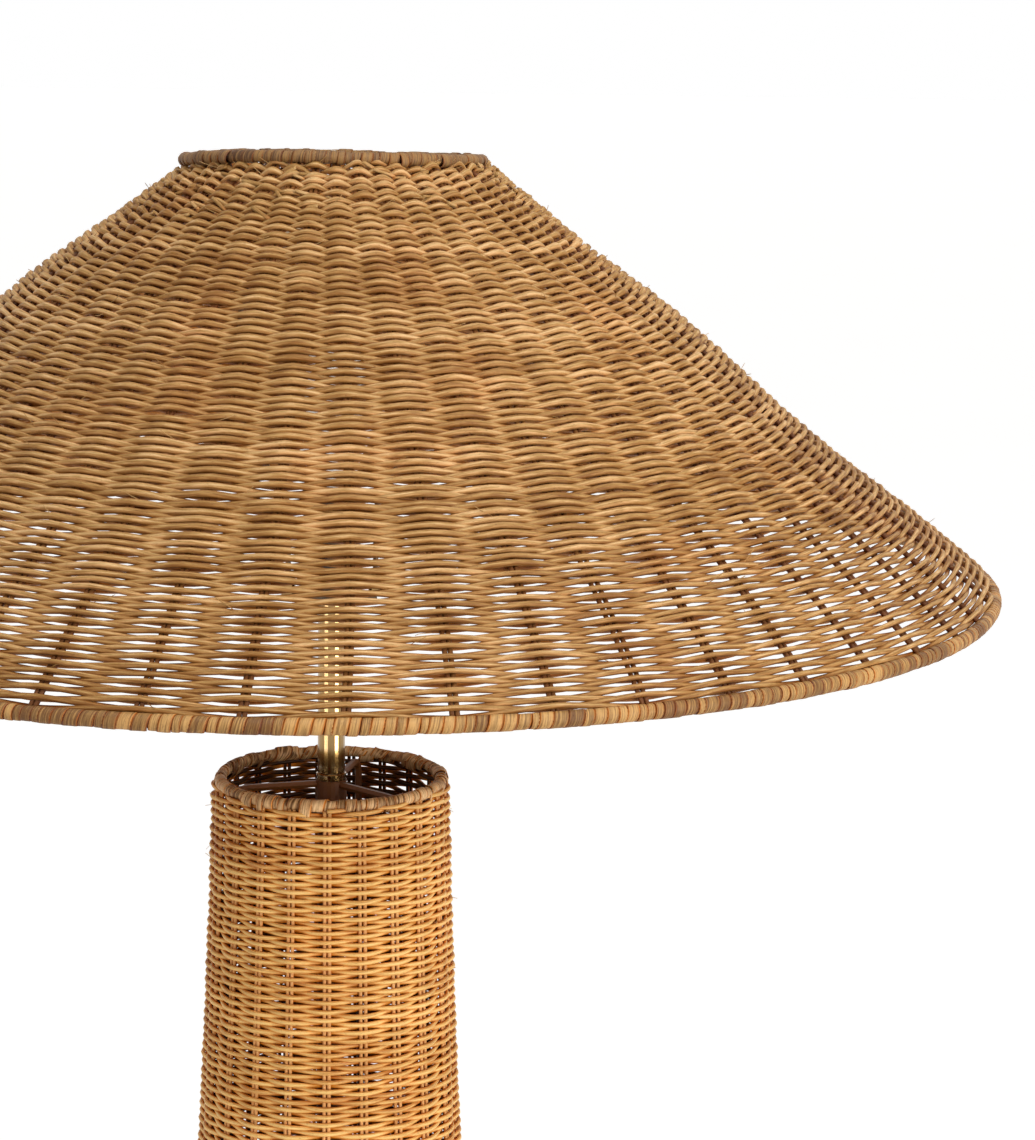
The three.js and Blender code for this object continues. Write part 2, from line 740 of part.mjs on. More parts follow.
function spider() {
  const middle = (spiderHubLow + spiderHubHigh) / 2;
  const end = shadeTopRadius - shadeRimTube - seatGap;
  const bend = spiderDrop - spiderHubThickness;
  const arms = Array.from({ length: spiderArms }, (_, i) => {
    const turn = (spiderFirstArm + (360 / spiderArms) * i) * degrees;
    const at = (radius, height) => new THREE.Vector3(radius * Math.cos(turn), radius * Math.sin(turn), height);
    const line = new THREE.CubicBezierCurve3(
      at((spiderHubRadius + studRadius) / 2, middle),
      at(end - bend, middle),
      at(end - spiderWireRadius, middle + spiderDrop / 4),
      at(end - spiderWireRadius, middle + spiderDrop),
    );
    return wire(line, spiderWireRadius, spiderArmSteps);
  });
  const hub = rod(spiderHubRadius, spiderHubLow, spiderHubHigh);
  const hole = rod(studRadius + slipGap, spiderHubLow - overrun, spiderHubHigh + overrun);
  add('shade_spider', cut(fused(hub, ...arms), hole), 'brass');
}

// A straight cone between the two rims.
function shadeWeave() {
  const top = new THREE.Vector2(shadeTopRadius, shadeTopHeight);
  const bottom = new THREE.Vector2(shadeRimRadius, shadeRimHeight);
  const fall = bottom.clone().sub(top).normalize();
  const out = new THREE.Vector2(-fall.y, fall.x);
  const room = shadeRimTube + seatGap;
  const edges = wallEdges(
    top.distanceTo(bottom) - 2 * room,
    shadeOpeningRows,
    shadeOpeningHeight,
    shadeOpeningPitch,
    shadeOpeningFoot,
  );
  const lines = edges.map((distance) => ({ at: top.clone().addScaledVector(fall, room + distance), out }));
  add('shade_weave', wovenWall(lines, shadeStakePairs), 'rattan');
}

function finial() {
  const low = spiderHubHigh + seatGap;
  const ball = low + finialHeight - finialRadius;
  const globe = arc([0, ball], finialRadius, -50, 90, 6);
  globe[globe.length - 1][0] = 0;
  add('finial', turned([
    [0, low + finialBoreDepth],
    [studRadius + slipGap, low + finialBoreDepth],
    [studRadius + slipGap, low],
    [finialRadius, low],
    [finialRadius, low + finialFootHeight],
    [finialNeckRadius, low + finialNeckHeight],
    ...globe,
  ], smallSides), 'brass');
}

baseFelt();
basePlate();
baseFasteners();
cordGland();
centreRod();
columnFrame();
columnWeave();
rim('column_top_rim', columnTopRadius, columnRimHeight, columnRimTube, 2 * columnStakePairs);
rim('column_bottom_rim', columnFootRadius, columnFootHeight, columnRimTube, 2 * columnStakePairs);
saddle();
lampholder();
harp();
spider();
shadeWeave();
rim('shade_top_rim', shadeTopRadius, shadeTopHeight, shadeRimTube, shadeStakePairs);
rim('shade_bottom_rim', shadeRimRadius, shadeRimHeight, shadeRimTube, shadeStakePairs);
finial();

export default lamp;
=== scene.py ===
"""Strands, stakes, cane wraps and finishes of a woven rattan floor lamp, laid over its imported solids."""

import math
from functools import partial

import bpy
import numpy as np
from bpy.props import FloatProperty, FloatVectorProperty, IntProperty, PointerProperty
from mathutils import Euler, Matrix, Vector


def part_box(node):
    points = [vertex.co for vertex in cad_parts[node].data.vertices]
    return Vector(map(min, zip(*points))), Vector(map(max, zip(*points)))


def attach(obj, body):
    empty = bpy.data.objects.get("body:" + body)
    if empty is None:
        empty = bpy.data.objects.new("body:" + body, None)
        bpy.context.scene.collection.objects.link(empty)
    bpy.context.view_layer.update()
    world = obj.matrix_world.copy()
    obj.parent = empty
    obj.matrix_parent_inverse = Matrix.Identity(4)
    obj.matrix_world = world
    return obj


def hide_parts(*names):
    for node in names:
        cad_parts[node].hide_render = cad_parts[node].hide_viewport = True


bl_info = {
    "name": "Rattan Floor Lamp",
    "version": (1, 0, 0),
    "blender": (4, 5, 0),
    "location": "View3D > Sidebar > Rattan Lamp",
    "description": "Weaves the shade and column, wraps the rims and finishes the fittings of a floor lamp",
    "category": "Add Mesh",
}

TURN = 2 * math.pi
BLACK = (0.0, 0.0, 0.0, 1.0)
WHITE = (1.0, 1.0, 1.0, 1.0)

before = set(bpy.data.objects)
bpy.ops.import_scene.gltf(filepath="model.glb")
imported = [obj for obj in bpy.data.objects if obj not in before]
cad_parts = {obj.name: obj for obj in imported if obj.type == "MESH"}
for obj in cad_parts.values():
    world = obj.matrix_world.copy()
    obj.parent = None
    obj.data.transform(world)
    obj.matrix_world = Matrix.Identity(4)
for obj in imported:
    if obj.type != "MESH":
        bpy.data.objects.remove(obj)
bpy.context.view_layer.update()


def ring_of(node):
    """Radius of a rim's middle line, its height and its thickness radius, from the node's box:
    the reach towards the front less half the box's height, the middle height, and half the height."""
    low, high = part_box(node)
    thick = (high.z - low.z) / 2
    return -low.y - thick, (low.z + high.z) / 2, thick


SHADE_TOP = ring_of("shade_top_rim")
SHADE_FOOT = ring_of("shade_bottom_rim")
COLUMN_TOP = ring_of("column_top_rim")
COLUMN_FOOT = ring_of("column_bottom_rim")


# Settings


def linear(red, green, blue):
    """Scene colour of a screen colour that is written in steps of 255."""
    shares = [step / 255 for step in (red, green, blue)]
    return [s / 12.92 if s <= 0.04045 else ((s + 0.055) / 1.055) ** 2.4 for s in shares]


def count(name, description, default):
    return IntProperty(name=name, description=description, default=default)


def number(name, description, default, **kind):
    return FloatProperty(name=name, description=description, default=default, **kind)


def angle(name, description, degrees):
    return number(name, description, math.radians(degrees), subtype="ANGLE")


length = partial(number, min=0.0, unit="LENGTH", precision=5)
share = partial(number, min=0.0, soft_max=2.0)
power = partial(number, min=0.0, unit="POWER")


def paint(name, description, *screen):
    return FloatVectorProperty(
        name=name, description=description, default=linear(*screen), subtype="COLOR", min=0.0, max=1.0
    )


WALL_SETTINGS = (
    ("pairs", count, "Stake pairs", "Pairs of stakes round the wall, an odd number"),
    ("first", angle, "First pair", "Direction of the first pair of stakes, seen from the axis"),
    ("bow", angle, "Bow", "How far the stakes bow sideways halfway down"),
    ("drift", angle, "Drift", "How far a pair of stakes stands off its even place"),
    ("flare", share, "Flare", "Power of the height share that the radius grows by"),
    ("lean_right", share, "Lean right", "Fall of the upper rim towards the right, as a slope"),
    ("lean_back", share, "Lean back", "Fall of the upper rim towards the back, as a slope"),
    ("droop", length, "Droop", "How far the upper rim hangs down on the left"),
    ("dent", length, "Dent", "How far the wall lies in under its upper rim"),
    ("billow", length, "Billow", "How far the right side bows out and in again on its way down"),
    ("pitch", length, "Row pitch", "Middle distance from row to row down the wall"),
    ("closing", share, "Row closing", "Power under 1 that sets the rows closer towards the lower rim"),
    ("strand", length, "Strand radius", "Half of the weaving strand's thickness through the wall"),
    ("spread", length, "Strand half width", "Half of the weaving strand's width along the wall"),
    ("broad", share, "Broadening", "Share that it widens by over and under the upper rows' stakes"),
    ("thinning", share, "Thinning", "Share of its thickness that it loses towards the lower rim"),
    ("tight", share, "Tight band", "Share that it gains in a band above the open rows"),
    ("stray", length, "Stray", "How far a strand strays from its row at a stake"),
    # The inner shade is painted shade on the wall's inner face: brown up to 1, black from 1 to 2
    ("inner", share, "Inner shade", "How brown the wall's inner face is, and black from 1 to 2"),
    # Painted shade: the strands are made browner next to the lower rim, where the lower rows lie in shade
    ("weathered", share, "Weathering", "How much browner the strands are next to the lower rim"),
    ("sway", length, "Row sway", "How far the rows wander from even rounds"),
    ("stake", length, "Stake radius", "Radius of a stake"),
    ("stake_gap", length, "Stake spacing", "Distance between the two stakes of a pair"),
    ("pale", paint, "Pale strand", "Lightest weaving strand"),
    ("body", paint, "Strand", "Middle weaving strand"),
    ("deep", paint, "Brown strand", "Darkest weaving strand"),
    ("stakes", paint, "Stakes", "Stakes between the strands"),
)


def wall_settings(**values):
    """The settings of a woven wall with its own values, and 0 for what it has nothing of."""
    made = {}
    for key, kind, name, description in WALL_SETTINGS:
        value = values.get(key, 0.0)
        made[key] = kind(name, description, *(value if kind is paint else [value]))
    return made


class ShadeSettings(bpy.types.PropertyGroup):
    """Sizes and colours of the woven shade"""

    __annotations__ = wall_settings(
        pairs=49, first=-89.05, bow=0.9, drift=0.22, flare=1.0,
        lean_right=0.0165, lean_back=0.04, droop=0.004, dent=0.0033, billow=0.0018,
        pitch=0.00264, closing=0.95, stray=0.00042, sway=0.0012,
        strand=0.00146, spread=0.00152, broad=0.32, thinning=0.16, tight=0.1,
        stake=0.00124, stake_gap=0.00252, inner=0.35, weathered=0.32,
        # The shade's stakes are a darker brown than the column's: partly their own colour, partly painted
        # shade of the recesses they lie in
        pale=(196, 163, 116), body=(156, 122, 70), deep=(121, 82, 28), stakes=(98, 58, 20),
    )


class ColumnSettings(bpy.types.PropertyGroup):
    """Sizes and colours of the woven column"""

    __annotations__ = wall_settings(
        pairs=21, first=-92.1, drift=0.35, flare=1.3,
        pitch=0.00253, closing=1.0, stray=0.00024, sway=0.0006,
        strand=0.0013, spread=0.00134, stake=0.0011, stake_gap=0.0028, inner=2.0,
        pale=(241, 201, 130), body=(224, 184, 111), deep=(189, 133, 68), stakes=(224, 175, 112),
    )


class WrapSettings(bpy.types.PropertyGroup):
    """Sizes and colours of the cane that is wound round the rims"""

    thick: length("Wrap thickness", "Thickness of the flat cane", 0.0006)
    inset: length("Column rim inset", "How far the column's upper rim lies inside its stakes", 0.002)
    pale: paint("Pale cane", "Lightest turn of cane", 179, 139, 84)
    body: paint("Cane", "Middle turn of cane", 138, 104, 57)
    deep: paint("Brown cane", "Darkest turn of cane", 98, 64, 27)
    grey: paint("Weathered cane", "Cane of the shade's upper rim", 121, 90, 56)
    dusk: paint("Weathered brown", "Darkest cane of the shade's upper rim", 76, 50, 26)
    worn: paint("Worn cane", "Cane of the column's upper rim", 194, 152, 103)
    bright: paint("Worn pale cane", "Lightest cane of the column's upper rim", 223, 186, 136)
    core: paint("Rim core", "Rod inside the wraps", 70, 44, 24)


class FittingSettings(bpy.types.PropertyGroup):
    """Colours of the fittings"""

    brass: paint("Brass", "Brushed brass of the neck, finial and switch", 163, 127, 70)
    # Darker, rougher brass: partly painted shade, as the lampholder and harp sit in the dim inside of the
    # lampshade
    aged: paint("Aged brass", "Darkened brass of the lampholder and the harp", 88, 66, 42)
    brown: paint("Brown paint", "Paint of the column's frame", 106, 60, 20)
    iron: paint("Base paint", "Paint of the cast base", 46, 36, 30)
    zinc: paint("Zinc", "Plated screws, nut and rod", 176, 176, 172)
    felt: paint("Felt", "Felt under the base", 46, 43, 40)
    rubber: paint("Rubber", "Gland where the cord leaves", 30, 30, 30)
    card: paint("Card", "Liner of the lampholder", 208, 200, 182)
    moulding: paint("Moulding", "Dark moulding of the switch", 30, 24, 21)
    glass: paint("Frosted glass", "Bulb", 240, 238, 230)


class StageSettings(bpy.types.PropertyGroup):
    """Light and floor round the lamp"""

    floor: paint("Floor", "Colour of the floor", 236, 235, 233)
    sky: share("Sky light", "Strength of the even light from all round", 0.53)
    key: power("Key lamp", "Power of the lamp on the right", 58.0)
    fill: power("Fill lamp", "Power of the lamp on the left", 14.5)
    top: power("Top lamp", "Power of the lamp overhead", 46.0)


# Shader maths


class Reading:
    """A number that varies over a surface: one output socket, whose sums and products add Math nodes"""

    def __init__(self, tree, socket):
        self.tree = tree
        self.socket = socket

    def worked(self, operation, *terms):
        node = self.tree.nodes.new("ShaderNodeMath")
        node.operation = operation
        for place, term in enumerate(terms):
            if isinstance(term, Reading):
                self.tree.links.new(term.socket, node.inputs[place])
            else:
                node.inputs[place].default_value = term
        return Reading(self.tree, node.outputs[0])

    def __add__(self, other):
        return self.worked("ADD", self, other)

    __radd__ = __add__

    def __sub__(self, other):
        return self.worked("SUBTRACT", self, other)

    def __rsub__(self, other):
        return self.worked("SUBTRACT", other, self)

    def __mul__(self, other):
        return self.worked("MULTIPLY", self, other)

    __rmul__ = __mul__

    def wave(self):
        return self.worked("SINE", self)


class Nodes:
    """A node tree that is added to"""

    def __init__(self, tree):
        self.tree = tree

    def join(self, value, socket):
        if isinstance(value, Reading):
            self.tree.links.new(value.socket, socket)
        else:
            socket.default_value = value

    def node(self, kind, settings=None, sockets=None, output=0):
        """One node of a type: its settings first, then the values or links of its sockets."""
        node = self.tree.nodes.new(kind)
        for name, value in (settings or {}).items():
            if name == "stops":
                ramp = node.color_ramp
                while len(ramp.elements) < len(value):
                    ramp.elements.new(1.0)
                for element, (place, colour) in zip(ramp.elements, value):
                    element.position = place
                    element.color = colour
            else:
                setattr(node, name, value)
        for name, value in (sockets or {}).items():
            self.join(value, node.inputs[name])
        return Reading(self.tree, node.outputs[output])

    def place(self):
        return self.node("ShaderNodeTexCoord", output="Object")

    def along(self):
        return self.node("ShaderNodeUVMap", {"uv_map": "Grain"})

    def mark(self, name):
        return self.node("ShaderNodeAttribute", {"attribute_name": name}, output="Fac")

    def stretched(self, vector, *by):
        return self.node("ShaderNodeVectorMath", {"operation": "MULTIPLY"}, {0: vector, 1: by})

    def noise(self, vector, scale, detail=2.0):
        return self.node("ShaderNodeTexNoise", {}, {"Vector": vector, "Scale": scale, "Detail": detail})

    def height(self):
        return self.node("ShaderNodeSeparateXYZ", {}, {"Vector": self.place()}, "Z")

    def ramp(self, value, *stops):
        return self.node("ShaderNodeValToRGB", {"stops": stops}, {"Fac": value})

    def mixed(self, factor, first, second, blend="MIX"):
        settings = {"data_type": "RGBA", "blend_type": blend, "clamp_factor": True}
        return self.node("ShaderNodeMix", settings, {0: factor, 6: first, 7: second}, 2)

    def tinted(self, colour, tint):
        return self.mixed(1.0, colour, tint, "MULTIPLY")


class Finish(Nodes):
    """A material in the making, with one principled shader for its surface"""

    def __init__(self, name, **constants):
        self.material = bpy.data.materials.new(name)
        self.material.use_nodes = True
        super().__init__(self.material.node_tree)
        self.shader = self.tree.nodes["Principled BSDF"]
        for socket, value in constants.items():
            self.surface(socket.replace("_", " "), value)

    def surface(self, socket, value):
        self.join(value, self.shader.inputs[socket])

    def relief(self, height, depth):
        bump = self.node("ShaderNodeBump", {}, {"Height": height, "Distance": depth, "Strength": 1.0})
        self.surface("Normal", bump)


def solid(colour, scale=1.0):
    """A colour with its opacity, made lighter or darker by a factor."""
    return (*[min(1.0, part * scale) for part in colour], 1.0)


# Finishes

FIBRES_ALONG, SPECKS_ALONG, SPECKS_ACROSS = 8.0, 45.0, 2.5
KNOT_SCALE, PATCH_SCALE, BLUSH_SCALE = 42.0, 8.0, 17.0
KNOT_SHARE, PATCH_SHARE = 0.8, 0.7
BLUSH_STOPS = ((0.54, BLACK), (0.74, (0.7, 0.7, 0.7, 1.0)))
SPECK_STOPS = ((0.6, BLACK), (0.74, WHITE))
RED_TINT = (1.0, 0.89, 0.8, 1.0)
SPECK_TINT = (0.5, 0.38, 0.26, 1.0)
# Tints of painted shade: brown where the painted shade mark is up to 1, near black from 1 to 2
PAINTED_SHADE_TINT = (0.9, 0.42, 0.02, 1.0)
UNLIT_TINT = (0.07, 0.07, 0.14, 1.0)
CANE_SHINE = 0.28
CANE_RELIEF = 0.00022
BRUSHING = (1400.0, 1400.0, 30.0)


def cane_finish(name, shades, spread, streaks, polish, across=8.0):
    """Natural cane: each strand has its own tone, fibres and flecks run along it, some stretches are redder,
    and it gets painted shade from its mark: browner in the hollows of the wall, and blacker where the mark
    is over 1. The level is a half plus each reading's share off its middle."""
    made = Finish(name, Coat_Weight=0.0, Specular_IOR_Level=CANE_SHINE)
    deep, body, pale = shades
    fibres = made.noise(made.stretched(made.along(), FIBRES_ALONG, across, 1.0), 1.0, 4.0)
    knots = made.noise(made.place(), KNOT_SCALE, 3.0)
    patches = made.noise(made.place(), PATCH_SCALE)
    level = (made.mark("tone") - 0.5) * spread + (fibres - 0.5) * streaks + (knots - 0.5) * KNOT_SHARE
    level = level + (patches - 0.5) * PATCH_SHARE + 0.5
    tones = made.ramp(level, (0.0, solid(deep)), (0.5, solid(body)), (1.0, solid(pale)))
    blush = made.ramp(made.noise(made.place(), BLUSH_SCALE), *BLUSH_STOPS)
    tones = made.mixed(blush, tones, made.tinted(tones, RED_TINT))
    specks = made.noise(made.stretched(made.along(), SPECKS_ALONG, across * SPECKS_ACROSS, 1.0), 1.0)
    tones = made.mixed(made.ramp(specks, *SPECK_STOPS), tones, made.tinted(tones, SPECK_TINT))
    # Painted shade: the mark browns the cane in the wall's hollows and blackens it from 1 to 2
    bury = made.mark("bury")
    tones = made.mixed(bury, tones, made.tinted(tones, PAINTED_SHADE_TINT))
    made.surface("Base Color", made.mixed(bury - 1.0, tones, made.tinted(tones, UNLIT_TINT)))
    made.surface("Roughness", fibres * 0.14 + knots * 0.1 + polish)
    made.relief(fibres * 0.75 + knots * 0.25, CANE_RELIEF)
    return made.material


def brass_finish(name, colour, roughness):
    """Brushed and lacquered brass: fine lines along the axis and a slow change of tone."""
    made = Finish(name, Metallic=1.0, Coat_Weight=1.0, Coat_Roughness=roughness)
    lines = made.noise(made.stretched(made.place(), *BRUSHING), 1.0)
    clouds = made.noise(made.place(), 26.0, 3.0)
    tone = made.mixed(clouds, solid(colour, 0.82), solid(colour, 1.16))
    made.surface("Base Color", made.mixed(lines * 0.35, tone, solid(colour, 0.6)))
    made.surface("Roughness", lines * 0.1 + clouds * 0.04 + roughness)
    made.relief(lines, 0.00001)
    return made.material


def painted_finish(name, colour, grain, roughness, depth):
    """Paint over metal: a slight orange peel or cast grain, and wear that shows as a paler tone."""
    made = Finish(name)
    peel = made.noise(made.place(), grain, 3.0)
    wear = made.noise(made.place(), 18.0, 4.0)
    made.surface("Base Color", made.mixed(wear, solid(colour, 0.75), solid(colour, 1.35)))
    made.surface("Roughness", roughness + wear * 0.15)
    made.relief(peel, depth)
    return made.material


def plated_finish(name, colour, thread=0.0):
    """Plated steel with a fine grain, or with a thread of a given pitch as a wave along its axis."""
    made = Finish(name, Metallic=1.0)
    grain = made.noise(made.place(), 400.0, 3.0)
    spots = made.noise(made.place(), 60.0)
    made.surface("Base Color", made.mixed(spots, solid(colour, 0.8), solid(colour, 1.1)))
    made.surface("Roughness", 0.28 + grain * 0.16)
    if thread:
        made.relief((made.height() * (TURN / thread)).wave(), thread / 8)
    else:
        made.relief(grain, 0.00002)
    return made.material


def soft_finish(name, colour, grain, roughness, depth):
    """Felt, rubber, card or moulding: an even colour broken by its own grain."""
    made = Finish(name)
    fibres = made.noise(made.place(), grain, 4.0)
    clouds = made.noise(made.place(), 22.0)
    tone = made.mixed(clouds, solid(colour, 0.86), solid(colour, 1.12))
    made.surface("Base Color", made.mixed(fibres * 0.6, tone, solid(colour, 0.6)))
    made.surface("Roughness", roughness + fibres * 0.12)
    made.relief(fibres, depth)
    return made.material


def frosted_finish(name, colour):
    """Frosted glass of a bulb that is off: near white, a little greyer in slow clouds."""
    made = Finish(name, Coat_Weight=0.3)
    clouds = made.noise(made.place(), 40.0)
    frost = made.noise(made.place(), 900.0)
    made.surface("Base Color", made.mixed(clouds, solid(colour), solid(colour, 0.93)))
    made.surface("Roughness", 0.3 + frost * 0.12)
    made.relief(frost, 0.00001)
    return made.material


# Shapes


def placed(name, data):
    """An object in the scene that holds a mesh, lamp or camera."""
    made = bpy.data.objects.new(name, data)
    bpy.context.scene.collection.objects.link(made)
    return made


class Wall:
    """The line that the stakes follow from an upper ring to a lower one, turned round the axis.
    The radius grows from the upper one by a power of the share of the height."""

    STEPS = 400
    DENT_PLACE, DENT_REACH, DENT_LEFT = 0.03, 0.05, 0.8
    LEAN_REACH = 0.09
    DROOP_POWER, DROOP_REACH = 3, 0.018
    BILLOW_PLACE, BILLOW_PITCH = 0.145, 0.2

    def __init__(self, top, foot, sizes):
        fall = np.linspace(0, 1, self.STEPS)
        self.radius = top[0] + (foot[0] - top[0]) * fall**sizes.flare
        self.height = top[1] + (foot[1] - top[1]) * fall
        step = np.hypot(np.diff(self.radius), np.diff(self.height))
        self.distance = np.concatenate([[0], np.cumsum(step)])
        slope = np.stack([np.gradient(self.radius), np.gradient(self.height)])
        slope /= np.linalg.norm(slope, axis=0)
        self.out_radius = -slope[1]
        self.out_height = slope[0]
        self.length = self.distance[-1]
        self.sizes = sizes
        self.top = top
        self.foot = foot

    def read(self, line, distance):
        return np.interp(distance, self.distance, line)

    def bowed(self, distance, turn):
        """Direction of a stake that starts at another, after its bow: half a sine wave down the wall."""
        return turn + self.sizes.bow * np.sin(math.pi * distance / self.length)

    def leaned(self, points, distance):
        """Points whose height falls by the lean's slopes, in full at the upper ring and less as a bell
        below. On the left the ring and the rows next to it droop, by a power of the cosine."""
        fade = np.exp(-((distance / self.LEAN_REACH) ** 2))
        right, back = points[..., 0], points[..., 1]
        fall = (right * self.sizes.lean_right + back * self.sizes.lean_back) * fade
        leftward = np.clip(-right / np.hypot(right, back), 0, 1)
        hanging = self.sizes.droop * leftward**self.DROOP_POWER
        fall = fall + hanging * np.exp(-((distance / self.DROOP_REACH) ** 2))
        return points - np.stack([0 * fall, 0 * fall, fall], axis=-1)

    def outward(self, distance, turn):
        """Unit vector out of the wall: its share along the radius, turned to the direction, and its rise."""
        turn = self.bowed(distance, turn)
        reach = self.read(self.out_radius, distance)
        rise = self.read(self.out_height, distance)
        return np.stack([reach * np.cos(turn), reach * np.sin(turn), rise], axis=-1)

    def points(self, distance, turn, lift):
        """Points at a distance down the wall and a direction round it, lifted out of it. Under the upper
        ring the wall lies in by the dent, as a bell over the distance and most on the left, and its right
        side bows out and in as a cosine."""
        radius = self.read(self.radius, distance)
        height = self.read(self.height, distance)
        way = self.bowed(distance, turn)
        bell = np.exp(-(((distance - self.DENT_PLACE) / self.DENT_REACH) ** 2))
        wave = np.cos(TURN * (distance - self.BILLOW_PLACE) / self.BILLOW_PITCH) * (1 + np.cos(way)) / 2
        dented = self.sizes.dent * bell * (1 - self.DENT_LEFT * np.cos(way))
        lift = lift - dented + self.sizes.billow * wave * (1 - bell)
        base = np.stack([radius * np.cos(way), radius * np.sin(way), height], axis=-1)
        return self.leaned(base + self.outward(distance, turn) * lift[..., None], distance)


def carried(paths, outward, thick, wide, sides, flat=1.0):
    """Rings of points along paths: a path's point plus the outward vector by the thickness and a cosine,
    plus the vector across the path by the width and a sine. A flatness under 1 squares the cosine's rise."""
    along = np.gradient(paths, axis=1)
    across = np.cross(along, outward)
    across /= np.linalg.norm(across, axis=-1, keepdims=True)
    angle = math.pi + np.arange(sides) * (TURN / sides)
    rise = np.sign(np.cos(angle)) * np.abs(np.cos(angle)) ** flat
    lifted = outward[:, :, None] * (thick[..., None] * rise)[..., None]
    spread = across[:, :, None] * (wide[..., None] * np.sin(angle))[..., None]
    return paths[:, :, None] + lifted + spread


LAYOUT_MARGIN = 0.04
LAYOUT_ROOM = 1 - 2 * LAYOUT_MARGIN
GRAIN_PER_METRE = 10


def lay_map(mesh, title, low, near, high, far, columns):
    """A texture map from the edges of each four-cornered face: low and high along its tube, near and far
    round it. All corners of the caps share one point in the margin."""
    low, near, high, far = np.broadcast_arrays(low, near, high, far)
    faces = np.stack([low, near, low, far, high, far, high, near], axis=-1).reshape(-1, 2)
    caps = np.full((len(mesh.loops) - len(faces), 2), LAYOUT_MARGIN / columns / 2)
    layer = mesh.uv_layers.new(name=title)
    layer.data.foreach_set("uv", np.concatenate([faces, caps]).astype(np.float32).ravel())


def tube_piece(name, rings, marks, material, stripe, columns=1):
    """A mesh of closed tubes from rings of points, shape tubes by steps by sides: four-cornered faces
    between rings, a cap on each end. For baking it is laid out in stripes of so many steps, in columns."""
    tubes, steps, sides, _ = rings.shape
    index = np.arange(tubes * steps * sides).reshape(tubes, steps, sides)
    beside = np.roll(index, -1, axis=2)
    quads = np.stack([index[:, :-1], beside[:, :-1], beside[:, 1:], index[:, 1:]], axis=-1)
    corners = np.concatenate([quads.ravel(), index[:, 0, ::-1].ravel(), index[:, -1].ravel()])
    starts = np.concatenate([np.arange(0, quads.size, 4), quads.size + np.arange(2 * tubes) * sides])

    mesh = bpy.data.meshes.new(name)
    mesh.vertices.add(index.size)
    mesh.vertices.foreach_set("co", rings.astype(np.float32).ravel())
    mesh.loops.add(corners.size)
    mesh.loops.foreach_set("vertex_index", corners.astype(np.int32))
    mesh.polygons.add(starts.size)
    mesh.polygons.foreach_set("loop_start", starts.astype(np.int32))
    mesh.polygons.foreach_set("use_smooth", np.ones(starts.size, bool))
    mesh.update(calc_edges=True)

    side = np.arange(sides)
    cell, inside = np.divmod(np.arange(tubes * (steps - 1))[:, None], stripe)
    rows = -(-(cell[-1, 0] + 1) // columns)
    low = (cell % columns + LAYOUT_MARGIN + LAYOUT_ROOM * inside / stripe) / columns
    high = (cell % columns + LAYOUT_MARGIN + LAYOUT_ROOM * (inside + 1) / stripe) / columns
    near = (cell // columns + LAYOUT_MARGIN + LAYOUT_ROOM * side / sides) / rows
    far = (cell // columns + LAYOUT_MARGIN + LAYOUT_ROOM * (side + 1) / sides) / rows
    lay_map(mesh, "OFBake", low, near, high, far, columns)

    stride = np.linalg.norm(np.diff(rings.mean(axis=2), axis=1), axis=-1)
    run = np.concatenate([np.zeros((tubes, 1)), np.cumsum(stride, axis=1)], axis=1) * GRAIN_PER_METRE
    start, stop = run[:, :-1].reshape(-1, 1), run[:, 1:].reshape(-1, 1)
    lay_map(mesh, "Grain", start, side / sides, stop, (side + 1) / sides, columns)

    for title, values in marks.items():
        attribute = mesh.attributes.new(title, "FLOAT", "POINT")
        spread = np.broadcast_to(values, index.shape).astype(np.float32)
        attribute.data.foreach_set("value", spread.ravel())

    mesh.materials.append(material)
    return placed(name, mesh)


# The rows' slow waves: how many there are to a round, their length down the wall, and their share
WAVES = ((2, 0.21, 0.5), (3, 0.12, 0.4), (5, 0.085, 0.3), (8, 0.06, 0.18), (13, 0.11, 0.14))
WAVE_SEED = 5

# The single canes that the strand is joined from
CANES = 4000
CANE_LENGTHS = 0.5, 2.2
CANE_GIRTHS = 0.93, 1.06
PART_SHIFT = 997.0

# The strand's crossings of the stakes
LIFTS = 0.8, 1.1
SWELL = 0.035
STAY = 0.42
STRAIGHT, EASED = 0.6, 0.2

# The strand's section, where its outer face starts, and how much painted shade its edges and its inner side
# get
STRAND_SIDES, STRAND_PARTS, STRAND_FLATNESS = 6, 4, 0.6
OUTER_FACE = 0.9
EDGE_SHADE = 0.5
FACING_LEVEL, FACING_SLOPE = 0.6, 0.8

# Down the wall: the first row in radii of the rim, the top's stray in metres, the rest as shares of it
FIRST_ROW = 0.45
TOP_STRAY, TOP_STRAY_REACH = 2.0, 0.02
THIN_START, THIN_REACH = 0.68, 0.18
TIGHT_PLACE, TIGHT_REACH = 0.65, 0.07
BROAD_END, BROAD_REACH = 0.72, 0.3
# Painted shade of the rows next to the lower rim: where it starts and how far it reaches
RIM_SHADE_START, RIM_SHADE_REACH = 0.83, 0.12


def wandering(distance, turn, size):
    """How far hand-made rows stray along the wall: a sum of slow waves round it and down it."""
    randoms = np.random.default_rng(WAVE_SEED)
    total = np.zeros_like(distance)
    for rounds, reach, part in WAVES:
        phase = randoms.uniform(0, TURN)
        total += part * np.sin(rounds * turn + TURN * distance / reach + phase)
    return size * total


def between(values, whole, weight):
    """Values at the crossings, joined by a weight that falls from 1 to 0 on the way to the next."""
    return values[whole] * weight + values[whole + 1] * (1 - weight)


